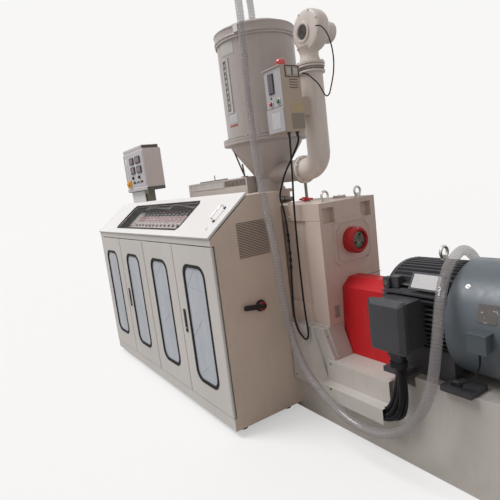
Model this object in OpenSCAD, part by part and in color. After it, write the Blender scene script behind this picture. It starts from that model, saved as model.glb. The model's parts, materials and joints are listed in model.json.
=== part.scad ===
// Single-screw plastic extruder with a hopper dryer and a control cabinet.
// Millimetres. +X runs to the drive motor, +Z is up, the operator stands at -Y.
// The origin lies on the floor, under the screw axis, in line with the cabinet's drive end.

/* [Base] */
// Length of the base frame
base_length = 2830; // [2700:10:2900]
// Width of the base frame
base_width = 472; // [450:2:474]
// Height of the base deck above the floor
deck_height = 407; // [395:1:415]
// Distance from the cabinet's drive end to the motor end of the base
base_reach = 1330; // [1310:5:1400]
// Height of the gearbox seat above the deck
seat_rise = 170; // [160:2:180]
// Height of the motor stand above the deck
stand_rise = 49; // [40:1:60]
// Depth of the sheet cover on the operator's side of the base
side_cover_depth = 39; // [30:1:45]
// Length of the cable duct
duct_length = 420; // [360:10:440]
// How far the duct stands out from the side cover
duct_depth = 59; // [50:1:70]

/* [Gearbox] */
// Length of the gearbox
gearbox_length = 502; // [480:2:510]
// Width of the gearbox
gearbox_width = 434; // [420:2:440]
// Height of the gearbox
gearbox_height = 675; // [660:5:700]
// Height of the screw axis above the gearbox seat
screw_height = 448; // [440:2:456]
// Radius of the red cover on the screw bearing
bearing_cover_radius = 73; // [65:1:80]
// Width of the coupling guard at its foot
guard_width = 244; // [230:2:260]

/* [Motor] */
// Height of the motor shaft above its feet
shaft_height = 262; // [256:1:270]
// Radius of the motor frame over its fins
fin_radius = 232; // [226:1:236]
// Radius of the motor frame between its fins
core_radius = 202; // [195:1:208]
// Thickness of a cooling fin
fin_thickness = 6; // [4:1:8]
// Pitch of the cooling fins
fin_pitch = 21; // [18:1:26]
// Radius of the fan cowl
cowl_radius = 250; // [244:1:254]
// Length of the fan cowl
cowl_length = 270; // [250:5:280]

/* [Hopper dryer] */
// Outside radius of the hopper
hopper_radius = 250; // [240:2:260]
// Height of the hopper's cylindrical part
hopper_height = 610; // [580:10:640]
// Height of the hopper's bottom flange above the screw axis
hopper_rise = 651; // [640:2:670]
// Wall of the hopper
hopper_wall = 4; // [3:0.5:6]
// Radius of the hopper's neck
neck_radius = 85; // [80:1:90]
// Radius of the hot-air pipe
pipe_radius = 65; // [58:1:70]

/* [Barrel] */
// Radius of the barrel
barrel_radius = 62; // [56:1:70]
// Diameter of the screw bore
screw_bore = 65; // [50:1:75]
// Length of the heater hood
hood_length = 890; // [820:10:900]
// Width of the heater hood
hood_width = 260; // [240:2:280]
// Height of the heater hood's top above the screw axis
hood_rise = 427; // [400:1:430]
// Width of a vent slot in the hood
vent_slot = 9; // [6:1:12]

/* [Cabinet] */
// Length of the control cabinet
cabinet_length = 2097; // [2040:1:2120]
// Height of the cabinet's top above the floor
cabinet_height = 1341; // [1330:1:1360]
// Depth of the cabinet from the base to its doors
cabinet_depth = 490; // [470:2:500]
// Height of the cabinet's front shoulder, under the desk lid
shoulder_height = 1134; // [1120:1:1145]
// Clearance of the cabinet's underside above the floor
foot_height = 38; // [30:1:60]
// Sheet thickness of the cabinet
sheet = 3; // [2:0.5:4]
// Thickness of a door
door_thickness = 18; // [16:1:22]
// Gap beside each door
door_gap = 8; // [7:0.5:12]
// Width of a door window
window_width = 266; // [220:2:280]
// Height of a door window
window_height = 726; // [660:2:740]
// Corner radius of a door window
window_corner = 64; // [20:1:80]
// Width of the rubber seal round a door window
seal_width = 10; // [8:1:16]
// Thickness of the sloping desk lid
lid_thickness = 13; // [12:1:16]
// Length of the window in the desk lid
desk_window_length = 1195; // [1100:5:1240]
// Height of the window in the desk lid, up the slope
desk_window_height = 240; // [210:2:250]
// Number of louvre blades in the drive end
louvre_blades = 14; // [8:1:16]
// Length of the disconnect handle's grip
disconnect_grip = 126; // [100:2:150]

/* [Hidden] */
$fn = 64;
joint_gap = 0.3;

base_x0 = base_reach - base_length;
seat_z = deck_height + seat_rise;
screw_z = seat_z + screw_height;
motor_foot_z = deck_height + stand_rise;
motor_z = motor_foot_z + shaft_height;
stand_x0 = 845;
cover_y = -base_width / 2 - side_cover_depth;
duct_x0 = 308;
duct_y = cover_y - duct_depth;
duct_shelf_z = deck_height - 115;
duct_lip_z = duct_shelf_z - 78;

gearbox_x1 = 302;
gearbox_x0 = gearbox_x1 - gearbox_length;
gearbox_foot = 108;
gearbox_seam_z = seat_z + gearbox_height - 92;
gearbox_top_z = seat_z + gearbox_height;
bearing_housing_length = 98;
throat_x1 = gearbox_x0 - bearing_housing_length;
throat_length = 172;
throat_x0 = throat_x1 - throat_length;
throat_x = throat_x1 - throat_length / 2;
throat_top_z = screw_z + 315;
guard_x1 = 638;
guard_top_z = motor_z + 106;

motor_x0 = 642;
shield_depth = 58;
frame_x0 = motor_x0 + shield_depth;
frame_x1 = 1045;
cowl_x0 = 1015;

hopper_z0 = screw_z + hopper_rise;
hopper_z1 = hopper_z0 + hopper_height;
cone_z0 = screw_z + 394;
pipe_x = 113;
pipe_top_z = hopper_z1 - 260;
pipe_bend_z = screw_z + 422;
pipe_bend_radius = 95;
pipe_joint_x = -30;

hood_x1 = throat_x0 - 10;
hood_x0 = hood_x1 - hood_length;
hood_z0 = screw_z - 165;
hood_z1 = screw_z + hood_rise;
barrel_x0 = hood_x0 - 190;

cab_x0 = -cabinet_length;
cab_y1 = -base_width / 2;
cab_y0 = cab_y1 - cabinet_depth;
move_gap = 6;
door_back_y = cab_y0 + door_thickness;
frame_y = door_back_y + move_gap;
plinth_y = cab_y0 + 5;
plinth_z1 = foot_height + 73;
slope_top_y = cab_y1 - 222;
shoulder_z = shoulder_height;
fascia_z0 = shoulder_z - 36;
slope_rise = (cabinet_height - shoulder_z) / (slope_top_y - cab_y0);
slope_angle = atan(slope_rise);
lid_stack = lid_thickness + move_gap;
lip_y = cab_y0 - 14;
lip_z = shoulder_z - 14 * slope_rise + lid_stack / cos(slope_angle);
door_z0 = plinth_z1 + move_gap;
door_z1 = fascia_z0 - move_gap;
door_count = 4;
post_width = 60;
end_margin = 1;
door_width = (cabinet_length - 2 * end_margin - (door_count - 1) * door_gap) / door_count;
door_pitch = door_width + door_gap;
window_z = (door_z0 + door_z1) / 2 + 3;
pin_radius = 4;
pin_clearance = 0.05;
pin_depth = 12;
door_axis_y = cab_y0 + door_thickness / 2;
slope_length = (slope_top_y - lip_y) / cos(slope_angle);
knuckle_x0 = cab_x0 + sheet + move_gap;
knuckle_x1 = -sheet - move_gap;
knuckle_radius = 6.5;
lid_axis_s = slope_length - 14;
lid_axis_h = -lid_stack - 11;
lid_length = lid_axis_s + 5.5;
roof_y0 = lip_y + lid_axis_s * cos(slope_angle) - lid_axis_h * sin(slope_angle) + knuckle_radius + move_gap;
disconnect_y = slope_top_y;
disconnect_z = 710;

cream = [0.91, 0.89, 0.84];
red = [0.80, 0.08, 0.11];
dark_grey = [0.20, 0.21, 0.23];
blue_grey = [0.36, 0.41, 0.45];
black = [0.08, 0.08, 0.09];
steel = [0.72, 0.72, 0.70];
glass_tint = [0.80, 0.86, 0.92];

module along_x(x0, length) {
    translate([x0, 0, 0]) rotate([90, 0, 90]) linear_extrude(length) children();
}

module along_y(y0, length) {
    translate([0, y0 + length, 0]) rotate([90, 0, 0]) linear_extrude(length) children();
}

module box(x, y, z) {
    translate([x[0], y[0], z[0]]) cube([x[1] - x[0], y[1] - y[0], z[1] - z[0]]);
}

module rounded_rect(w, h, r) {
    square([w - 2 * r, h], center = true);
    square([w, h - 2 * r], center = true);
    for (sx = [-1, 1], sy = [-1, 1])
        translate([sx * (w / 2 - r), sy * (h / 2 - r)]) circle(r);
}

module chamfered_rect(w, h, c) {
    polygon([
        [-w / 2 + c, -h / 2], [w / 2 - c, -h / 2], [w / 2, -h / 2 + c], [w / 2, h / 2 - c],
        [w / 2 - c, h / 2], [-w / 2 + c, h / 2], [-w / 2, h / 2 - c], [-w / 2, -h / 2 + c]
    ]);
}

module x_cylinder(x0, length, r) {
    translate([x0, 0, 0]) rotate([0, 90, 0]) cylinder(h = length, r = r);
}

// Welded base: a closed box with a deck plate and the raised motor stand
module base_frame() color(cream) {
    deck_plate = 12;
    bottom_set_back = 3;
    half = base_width / 2;
    box([base_x0 + bottom_set_back, base_reach - bottom_set_back],
        [-half + bottom_set_back, half - bottom_set_back], [0, deck_height - deck_plate]);
    box([base_x0, base_reach], [-half, half], [deck_height - deck_plate, deck_height]);
    box([stand_x0, base_reach], [-half, half], [deck_height, motor_foot_z]);
}

// Pedestal under the gearbox, with a sloping end towards the motor
module gearbox_pedestal() color(cream) {
    slope_x = 62;
    guard_half = guard_width / 2 + joint_gap;
    difference() {
        along_y(-base_width / 2, base_width)
            polygon([
                [gearbox_x0 - 60, deck_height], [gearbox_x1 + slope_x, deck_height],
                [gearbox_x1, seat_z], [gearbox_x0 - 60, seat_z]
            ]);
        box([gearbox_x1, gearbox_x1 + slope_x + 1], [-guard_half, guard_half],
            [deck_height - 1, seat_z + 1]);
    }
}

// Sheet cover on the operator's side of the base and the pedestal
module side_cover() color(cream) {
    cover_x0 = 8;
    cover_top_z = seat_z - 8;
    bend_top_x = 221;
    bend_foot_x = 295;
    wing_depth = side_cover_depth - 14;
    along_y(cover_y, side_cover_depth)
        polygon([
            [cover_x0, duct_lip_z], [duct_x0, duct_lip_z], [duct_x0, duct_shelf_z + 4],
            [bend_foot_x, duct_shelf_z + 40], [bend_top_x, cover_top_z], [cover_x0, cover_top_z]
        ]);
    along_y(-base_width / 2 - wing_depth, wing_depth)
        polygon([
            [bend_foot_x - 40, duct_shelf_z + 60], [duct_x0, duct_shelf_z + 4], [duct_x0, deck_height],
            [gearbox_x1 + 60, deck_height], [gearbox_x1 - 12, cover_top_z], [bend_top_x - 20, cover_top_z]
        ]);
}

// Folded duct that carries the motor cables, open below and at its motor end
module cable_duct() color(cream) {
    top = deck_height;
    back = -base_width / 2;
    along_x(duct_x0, duct_length)
        polygon([
            [back, top], [cover_y, top], [cover_y, duct_shelf_z], [duct_y, duct_shelf_z],
            [duct_y, duct_lip_z], [duct_y + sheet, duct_lip_z], [duct_y + sheet, duct_shelf_z - sheet],
            [cover_y + sheet, duct_shelf_z - sheet], [cover_y + sheet, top - sheet],
            [back, top - sheet]
        ]);
}

// Cast gearbox with its foot flange, top cover, side panels and bearing pad
module gearbox_housing() color(cream) {
    half = gearbox_width / 2;
    inset = 9;
    pilaster = 117;
    pad_size = 262;
    pad_depth = 8;
    pocket_depth = 32;
    difference() {
        union() {
            box([gearbox_x0, gearbox_x1], [-half, half], [seat_z, seat_z + gearbox_foot]);
            box([gearbox_x0, gearbox_x1], [-half + inset, half - inset],
                [seat_z + gearbox_foot, gearbox_seam_z]);
            box([gearbox_x1 - pilaster, gearbox_x1], [-half, half],
                [seat_z + gearbox_foot, gearbox_seam_z]);
            box([gearbox_x0, gearbox_x1], [-half, half], [gearbox_seam_z, gearbox_top_z]);
            along_x(gearbox_x1, pad_depth) translate([0, screw_z]) rounded_rect(pad_size, pad_size, 45);
            translate([0, 0, screw_z]) x_cylinder(throat_x1, bearing_housing_length, 120);
        }
        for (y = [-150, 137])
            box([gearbox_x1 - pocket_depth, gearbox_x1 + 1], [y - 42, y + 42],
                [gearbox_seam_z - 20, gearbox_seam_z + 64]);
        box([gearbox_x1 - pocket_depth, gearbox_x1 + 1], [-172, -126],
            [seat_z + 36, seat_z + gearbox_foot - 6]);
        translate([0, 0, screw_z]) x_cylinder(gearbox_x1 - 20, 40, bearing_cover_radius - 15);
    }
}

// Red ring cover over the screw's rear bearing
module bearing_cover() color(red) {
    seat_x = gearbox_x1 + 8;
    height = 62;
    rim = bearing_cover_radius;
    translate([seat_x, 0, screw_z]) rotate([0, 90, 0]) rotate_extrude($fn = 96)
        polygon([
            [0, 0], [rim, 0], [rim, height - 12], [rim - 10, height],
            [rim - 22, height], [rim - 26, height - 14], [0, height - 14]
        ]);
}

// Lifting eyes of the gearbox and the motor
module lifting_eye(x, y, z, ring) {
    wire = ring * 0.27;
    collar = 10;
    translate([x, y, z]) {
        cylinder(h = collar, r = ring * 0.75);
        translate([0, 0, collar]) cylinder(h = ring * 0.5, r = wire);
        translate([0, 0, collar + ring]) rotate([90, 0, 90])
            rotate_extrude() translate([ring, 0]) circle(wire, $fn = 24);
    }
}

module lifting_eyes() color(steel) {
    lifting_eye(gearbox_x1 - 70, -100, gearbox_top_z, 24);
    lifting_eye(gearbox_x1 - 70, 160, gearbox_top_z, 24);
    lifting_eye(871, 0, motor_z + fin_radius, 26);
}

// Folded red guard over the coupling between gearbox and motor
module coupling_guard() color(red) {
    foot = guard_width / 2;
    along_x(gearbox_x1 + joint_gap, guard_x1 - gearbox_x1 - joint_gap)
        polygon([
            [-foot, deck_height], [foot, deck_height], [foot - 22, guard_top_z - 46],
            [foot - 80, guard_top_z], [-foot + 80, guard_top_z], [-foot + 22, guard_top_z - 46]
        ]);
}

module fin_section() {
    rows = floor((fin_radius - 30) / fin_pitch);
    circle(core_radius, $fn = 96);
    intersection() {
        circle(fin_radius, $fn = 96);
        union() {
            for (i = [-rows : rows]) {
                if (abs(i * fin_pitch) < 150)
                    translate([-fin_radius, i * fin_pitch - fin_thickness / 2])
                        square([2 * fin_radius, fin_thickness]);
                if (abs(i * fin_pitch) < 150)
                    translate([i * fin_pitch - fin_thickness / 2, -fin_radius])
                        square([fin_thickness, 2 * fin_radius]);
            }
        }
    }
}

// Finned motor frame with its four feet
module motor_frame() color(dark_grey) {
    foot_pad = 24;
    foot_outer = 272;
    foot_inner = 150;
    foot_spans = [[frame_x0, frame_x0 + 120], [cowl_x0 - 21, cowl_x0 + 115]];
    hole = 18;
    along_x(frame_x0, frame_x1 - frame_x0) translate([0, motor_z]) fin_section();
    for (x = foot_spans, s = [-1, 1]) {
        difference() {
            box(x, s > 0 ? [foot_inner, foot_outer] : [-foot_outer, -foot_inner],
                [motor_foot_z, motor_foot_z + foot_pad]);
            translate([(x[0] + x[1]) / 2, s * (foot_outer - 45), motor_foot_z - 1])
                cylinder(h = foot_pad + 2, d = hole);
        }
    }
    for (s = [-1, 1])
        box([frame_x0, cowl_x0 - joint_gap], [s > 0 ? 120 : -190, s > 0 ? 190 : -120],
            [motor_foot_z, motor_z - 120]);
}

// Cast end shield on the motor's drive end, with its shaft boss
module motor_end_shield() color(dark_grey) {
    translate([motor_x0, 0, motor_z]) rotate([0, 90, 0]) rotate_extrude($fn = 96)
        polygon([
            [0, 0], [95, 0], [105, 12], [190, 26], [fin_radius - 6, 34],
            [fin_radius - 2, shield_depth], [0, shield_depth]
        ]);
}

// Sheet cowl over the fan, with a ring grille in its end
module fan_cowl() color(blue_grey) {
    overlap = frame_x1 - cowl_x0;
    edge = 34;
    wall = 4;
    translate([cowl_x0, 0, motor_z]) rotate([0, 90, 0]) difference() {
        rotate_extrude($fn = 96)
            polygon([
                [0, overlap], [cowl_radius - wall, overlap], [cowl_radius - wall, 0], [cowl_radius, 0],
                [cowl_radius, cowl_length - edge],
                for (a = [15 : 15 : 90])
                    [cowl_radius - edge + edge * cos(a), cowl_length - edge + edge * sin(a)],
                [0, cowl_length]
            ]);
        for (r = [70 : 24 : cowl_radius - 60])
            rotate_extrude($fn = 96) translate([r, cowl_length - 6]) square([12, 7]);
    }
}

// Small terminal box of the cooling fan, on the side of the cowl
module fan_terminal_box() color(blue_grey) {
    x = [cowl_x0 + 113, cowl_x0 + 200];
    z = [motor_z - 68, motor_z + 30];
    front_y = -300;
    difference() {
        box(x, [front_y, -200], z);
        translate([0, 0, motor_z]) x_cylinder(x[0] - 1, x[1] - x[0] + 2, cowl_radius + joint_gap);
    }
}

// Cast terminal box on the side of the motor, with its bevelled lid
module terminal_box() color(dark_grey) {
    box_x = [742, 912];
    box_z = [motor_z - 103, motor_z + 117];
    front_y = -350;
    lid_y = -392;
    width = box_x[1] - box_x[0];
    height = box_z[1] - box_z[0];
    mid = [(box_x[0] + box_x[1]) / 2, (box_z[0] + box_z[1]) / 2];
    difference() {
        box(box_x, [front_y, -150], box_z);
        translate([0, 0, motor_z]) x_cylinder(box_x[0] - 1, width + 2, fin_radius);
    }
    box([758, 854], [-334, -274], [575, box_z[0]]);
    intersection() {
        along_y(lid_y, front_y - lid_y) translate(mid) chamfered_rect(width + 20, height + 20, 12);
        translate([mid[0], 0, box_z[0] - 20]) linear_extrude(height + 40)
            polygon([
                [-width / 2 - 10, front_y], [-width / 2 - 10, lid_y + 18], [-width / 2 + 8, lid_y],
                [width / 2 - 8, lid_y], [width / 2 + 10, lid_y + 18], [width / 2 + 10, front_y]
            ]);
    }
}

// Feed throat block on its column, with the feed bore
module feed_throat() color(cream) {
    half = 87;
    block_z0 = screw_z - 120;
    bore_depth = 240;
    difference() {
        union() {
            box([throat_x0, throat_x1], [-half, half], [block_z0, throat_top_z - 22]);
            box([throat_x0, throat_x1], [-half - 20, half + 20], [throat_top_z - 22, throat_top_z]);
            box([throat_x0 + 20, throat_x1 - 20], [-half + 15, half - 15], [deck_height, block_z0]);
        }
        translate([throat_x, 0, throat_top_z - bore_depth]) cylinder(h = bore_depth + 1, r = 45);
    }
}

// Barrel with its end flange and screw bore
module barrel() color(steel) {
    flange = 45;
    flange_radius = 115;
    bolt_circle = 170;
    bolt_hole = 17;
    difference() {
        translate([0, 0, screw_z]) {
            x_cylinder(barrel_x0, hood_x0 - barrel_x0, barrel_radius);
            x_cylinder(barrel_x0, flange, flange_radius);
        }
        translate([0, 0, screw_z]) x_cylinder(barrel_x0 - 1, hood_x0 - barrel_x0 + 2, screw_bore / 2);
        for (a = [22.5 : 45 : 359])
            translate([0, bolt_circle / 2 * cos(a), screw_z + bolt_circle / 2 * sin(a)])
                x_cylinder(barrel_x0 - 1, flange + 2, bolt_hole / 2);
    }
}

// Heater hood over the barrel, on its sheet pedestal, with vent slots near the hopper
module barrel_hood() color(cream) {
    half = hood_width / 2;
    slot_height = 42;
    slot_depth = 14;
    vent_count = 15;
    difference() {
        union() {
            box([hood_x0, hood_x1], [-half, half], [hood_z0, hood_z1]);
            box([hood_x0 + 6, hood_x1 - 6], [-half + 6, half - 6], [deck_height, hood_z0]);
        }
        translate([throat_x, 0, cone_z0 - 8]) cylinder(h = hood_z1 - cone_z0 + 9, r = neck_radius + 30);
        for (i = [0 : vent_count - 1], s = [-1, 1])
            translate([
                hood_x1 - 40 - i * 2.2 * vent_slot, s * half - slot_depth, hood_z1 - slot_height - 14
            ])
                cube([vent_slot, 2 * slot_depth, slot_height]);
    }
}

// Hopper shell with its top clamp ring
module hopper_body() color(cream) {
    clamp_z = hopper_z1 - 10;
    slot = [34, 316];
    slot_z = hopper_z1 - 431;
    translate([throat_x, 0, 0]) difference() {
        union() {
            translate([0, 0, hopper_z0]) cylinder(h = hopper_height, r = hopper_radius, $fn = 128);
            translate([0, 0, hopper_z0]) cylinder(h = 16, r = hopper_radius + 32, $fn = 128);
            translate([0, 0, clamp_z]) cylinder(h = 10, r = hopper_radius + 10, $fn = 128);
        }
        translate([0, 0, hopper_z0 - 1])
            cylinder(h = hopper_height + 2, r = hopper_radius - hopper_wall, $fn = 128);
        rotate(-90) translate([hopper_radius - 30, -slot[0] / 2, slot_z]) cube([60, slot[0], slot[1]]);
    }
}

// Glass strip that shows the level in the hopper
module sight_glass() color(glass_tint) {
    slot = [34, 316];
    slot_z = hopper_z1 - 431;
    translate([throat_x, 0, 0]) intersection() {
        translate([0, 0, slot_z]) difference() {
            cylinder(h = slot[1], r = hopper_radius - 0.5, $fn = 128);
            translate([0, 0, -1]) cylinder(h = slot[1] + 2, r = hopper_radius - hopper_wall, $fn = 128);
        }
        rotate(-90) translate([hopper_radius - 30, -slot[0] / 2, slot_z]) cube([60, slot[0], slot[1]]);
    }
}

// Cone under the hopper, with its neck and the inlet for hot air
module hopper_cone() color(cream) {
    top_r = hopper_radius - 14;
    flange = 18;
    t = hopper_wall;
    bore = neck_radius - t;
    collar = throat_length / 2 + 8;
    inlet_length = pipe_joint_x - throat_x;
    difference() {
        union() {
            translate([throat_x, 0, 0]) rotate_extrude($fn = 128)
                polygon([
                    [0, throat_top_z], [collar, throat_top_z], [collar, throat_top_z + 16],
                    [neck_radius, throat_top_z + 16], [neck_radius, cone_z0],
                    [top_r, hopper_z0 - flange - 20], [top_r, hopper_z0 - flange],
                    [hopper_radius + 32, hopper_z0 - flange],
                    [hopper_radius + 32, hopper_z0], [0, hopper_z0]
                ]);
            translate([0, 0, pipe_bend_z]) x_cylinder(throat_x, inlet_length, pipe_radius);
            translate([0, 0, pipe_bend_z]) x_cylinder(pipe_joint_x - 14, 14, pipe_radius + 18);
        }
        translate([throat_x, 0, 0]) rotate_extrude($fn = 128)
            polygon([
                [0, throat_top_z - 1], [bore, throat_top_z - 1], [bore, cone_z0 + 1],
                [top_r - t, hopper_z0 - flange - 20], [top_r - t, hopper_z0 + 1], [0, hopper_z0 + 1]
            ]);
    }
}

// Hopper lid with its clamp rim and the inlet for the feed hose
module hopper_lid() color(cream) {
    rim = hopper_radius + 8;
    rise = 60;
    spigot = hose_radius;
    translate([throat_x, 0, hopper_z1]) {
        rotate_extrude($fn = 128)
            polygon([
                [0, 0], [rim, 0], [rim, 46], [rim - 8, 54],
                for (a = [20 : 14 : 76]) [(rim - 14) * cos(a), 54 + rise * sin(a)],
                [spigot + 22, 54 + rise], [spigot + 22, 66 + rise], [spigot, 66 + rise],
                [spigot, hose_start_rise], [0, hose_start_rise]
            ]);
    }
}

// Vertical hot-air pipe beside the hopper, with its lower bend and top flange
module heater_pipe() color(cream) {
    bend_x = pipe_x - pipe_bend_radius;
    flange = 14;
    translate([pipe_x, 0, pipe_bend_z + pipe_bend_radius])
        cylinder(h = pipe_top_z - pipe_bend_z - pipe_bend_radius, r = pipe_radius);
    translate([pipe_x, 0, pipe_top_z - flange]) cylinder(h = flange, r = pipe_radius + 16);
    translate([bend_x, 0, pipe_bend_z + pipe_bend_radius]) rotate([90, 0, 0])
        rotate([0, 0, 270]) rotate_extrude(angle = 90) translate([pipe_bend_radius, 0]) circle(pipe_radius);
    translate([pipe_joint_x, 0, pipe_bend_z]) rotate([0, 90, 0])
        cylinder(h = bend_x - pipe_joint_x, r = pipe_radius);
    translate([pipe_joint_x, 0, pipe_bend_z]) rotate([0, 90, 0]) cylinder(h = flange, r = pipe_radius + 18);
}

// Blower on top of the hot-air pipe
module air_blower() color(cream) {
    neck = 45;
    neck_height = 60;
    scroll_radius = 130;
    scroll_width = 90;
    translate([pipe_x, 0, pipe_top_z]) {
        cylinder(h = neck_height, r = neck);
        translate([60, 0, neck_height + scroll_radius - 12]) rotate([90, 0, 0]) {
            translate([0, 0, -scroll_width / 2]) cylinder(h = scroll_width, r = scroll_radius, $fn = 96);
            translate([0, 0, -scroll_width / 2 - 120]) cylinder(h = 120, r = 70);
        }
    }
}

// Control box of the dryer, on a bracket from the hot-air pipe
module dryer_control_box() color(cream) {
    box_x = [pipe_x - 75, pipe_x + 75];
    box_y = [-280, -150];
    box_z = [1648, 1990];
    box(box_x, box_y, box_z);
    difference() {
        box([pipe_x - 30, pipe_x + 30], [box_y[1], -20], [box_z[0] + 90, box_z[0] + 190]);
        translate([pipe_x, 0, box_z[0]]) cylinder(h = 300, r = pipe_radius);
    }
}

// Red beacon on the dryer's control box
module warning_beacon() color(red) {
    translate([pipe_x, -215, 1990]) rotate_extrude()
        polygon([[0, 0], [30, 0], [30, 8], [24, 10], [24, 34], [20, 42], [10, 46], [0, 46]]);
}

module cabinet_profile() {
    polygon([
        [plinth_y, foot_height], [cab_y1, foot_height], [cab_y1, cabinet_height],
        [slope_top_y, cabinet_height], [cab_y0, shoulder_z], [cab_y0, fascia_z0],
        [frame_y, fascia_z0], [frame_y, plinth_z1], [plinth_y, plinth_z1]
    ]);
}

// End plate of the cabinet at the motor's end, with the louvre
module cabinet_end_drive() color(cream) {
    vent_y = [slope_top_y - 96, cab_y1 - 109];
    vent_top = shoulder_z + 0.3 * (cabinet_height - shoulder_z);
    vent_z = [vent_top - 200, vent_top];
    pitch = (vent_z[1] - vent_z[0]) / louvre_blades;
    difference() {
        along_x(-sheet, sheet) cabinet_profile();
        for (i = [0 : louvre_blades - 1])
            box([-sheet - 1, 1], vent_y, [vent_z[0] + i * pitch, vent_z[0] + (i + 0.5) * pitch]);
    }
}

// End plate of the cabinet at the die end
module cabinet_end_die() color(cream) {
    along_x(cab_x0, sheet) cabinet_profile();
}

// Floor, back and roof of the cabinet
module cabinet_shell() color(cream) {
    x = [cab_x0 + sheet, -sheet];
    roof = 6;
    box(x, [frame_y + 30, cab_y1 - sheet], [foot_height, foot_height + sheet]);
    box(x, [cab_y1 - sheet, cab_y1], [foot_height, cabinet_height]);
    box(x, [roof_y0, cab_y1 - sheet], [cabinet_height - roof, cabinet_height]);
}

// Plinth, posts and fascia that the doors close against
module cabinet_face_frame() color(cream) {
    x = [cab_x0 + sheet, -sheet];
    centre = -cabinet_length / 2;
    stile = 25;
    rail_y = frame_y + 30;
    posts = [[x[0], x[0] + stile], [centre - post_width / 2, centre + post_width / 2], [x[1] - stile, x[1]]];
    box(x, [plinth_y, rail_y], [foot_height, plinth_z1]);
    for (post = posts)
        box(post, [frame_y, rail_y], [plinth_z1, fascia_z0]);
    along_x(x[0], x[1] - x[0])
        polygon([
            [cab_y0, fascia_z0], [rail_y, fascia_z0],
            [rail_y, shoulder_z + slope_rise * (rail_y - cab_y0)], [cab_y0, shoulder_z]
        ]);
}

// Adjustable feet of the cabinet
module cabinet_feet() color(black) {
    inset = 70;
    for (x = [cab_x0 + inset, -cabinet_length / 2, -inset], y = [frame_y + inset, cab_y1 - inset])
        translate([x, y, 0]) cylinder(h = foot_height, r = 25);
}

function door_x0(n) = cab_x0 + end_margin + (n - 1) * door_pitch;
function hinged_left(n) = n % 2 == 1;
function door_axis_x(n) = hinged_left(n) ? door_x0(n) + door_thickness / 2
    : door_x0(n) + door_width - door_thickness / 2;

// Door panel with its window opening, a rolled hinge edge and two pin holes
module door_panel(n) color(cream) {
    middle = door_x0(n) + door_width / 2;
    axis_x = door_axis_x(n);
    x = hinged_left(n) ? [axis_x, door_x0(n) + door_width] : [door_x0(n), axis_x];
    difference() {
        union() {
            box(x, [cab_y0, door_back_y], [door_z0, door_z1]);
            translate([axis_x, door_axis_y, door_z0])
                cylinder(h = door_z1 - door_z0, r = door_thickness / 2);
        }
        for (z = [door_z0 - 1, door_z1 - pin_depth])
            translate([axis_x, door_axis_y, z]) cylinder(h = pin_depth + 1, r = pin_radius + pin_clearance);
        along_y(cab_y0 - 1, door_thickness + 2) translate([middle, window_z])
            rounded_rect(window_width, window_height, window_corner);
    }
}

// Pins on which the doors and the desk lid turn
module hinge_pins() color(steel) {
    length = move_gap + pin_depth - 1;
    for (n = [1 : door_count]) {
        translate([door_axis_x(n), door_axis_y, door_z0 - move_gap]) cylinder(h = length, r = pin_radius);
        translate([door_axis_x(n), door_axis_y, door_z1 + move_gap - length])
            cylinder(h = length, r = pin_radius);
    }
    for (x = [cab_x0 + sheet, -sheet - length])
        on_slope() translate([x, lid_axis_s, lid_axis_h]) rotate([0, 90, 0])
            cylinder(h = length, r = pin_radius);
}

// Rubber seal round a door window
module seal_ring(n) color(black) {
    proud = 4;
    middle = door_x0(n) + door_width / 2;
    difference() {
        union() {
            along_y(cab_y0 - proud, proud) translate([middle, window_z])
                rounded_rect(window_width + 2 * seal_width, window_height + 2 * seal_width,
                    window_corner + seal_width);
            along_y(cab_y0, door_thickness) translate([middle, window_z])
                rounded_rect(window_width, window_height, window_corner);
        }
        along_y(cab_y0 - proud - 1, door_thickness + proud + 2) translate([middle, window_z])
            rounded_rect(window_width - 2 * seal_width, window_height - 2 * seal_width,
                window_corner - seal_width / 2);
    }
}

// Pane of a door window
module window_pane(n) color(glass_tint) {
    pane = 5;
    middle = door_x0(n) + door_width / 2;
    along_y(cab_y0 + 4, pane) translate([middle, window_z])
        rounded_rect(window_width - 2 * seal_width, window_height - 2 * seal_width,
            window_corner - seal_width / 2);
}

// Narrow swing handle near a door's closing edge
module flush_handle(n) color(black) {
    size = [20, 145];
    proud = 5;
    edge = 62;
    along_y(cab_y0 - proud, proud) translate([door_x0(n) + edge, window_z])
        rounded_rect(size[0], size[1], 7);
}

module door_panel_1() door_panel(1);
module door_panel_2() door_panel(2);
module door_panel_3() door_panel(3);
module door_panel_4() door_panel(4);
module door_seal_1() seal_ring(1);
module door_seal_2() seal_ring(2);
module door_seal_3() seal_ring(3);
module door_seal_4() seal_ring(4);
module door_window_1() window_pane(1);
module door_window_2() window_pane(2);
module door_window_3() window_pane(3);
module door_window_4() window_pane(4);
module door_handle_2() flush_handle(2);
module door_handle_4() flush_handle(4);

// Places children in the plane of the sloping desk: X along the cabinet, Y up the slope
module on_slope() {
    translate([0, lip_y, lip_z]) rotate([slope_angle, 0, 0]) children();
}

module desk_opening_2d() {
    middle = -cabinet_length / 2 - 14;
    translate([middle, slope_length * 0.494]) chamfered_rect(desk_window_length, desk_window_height, 22);
}

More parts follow.
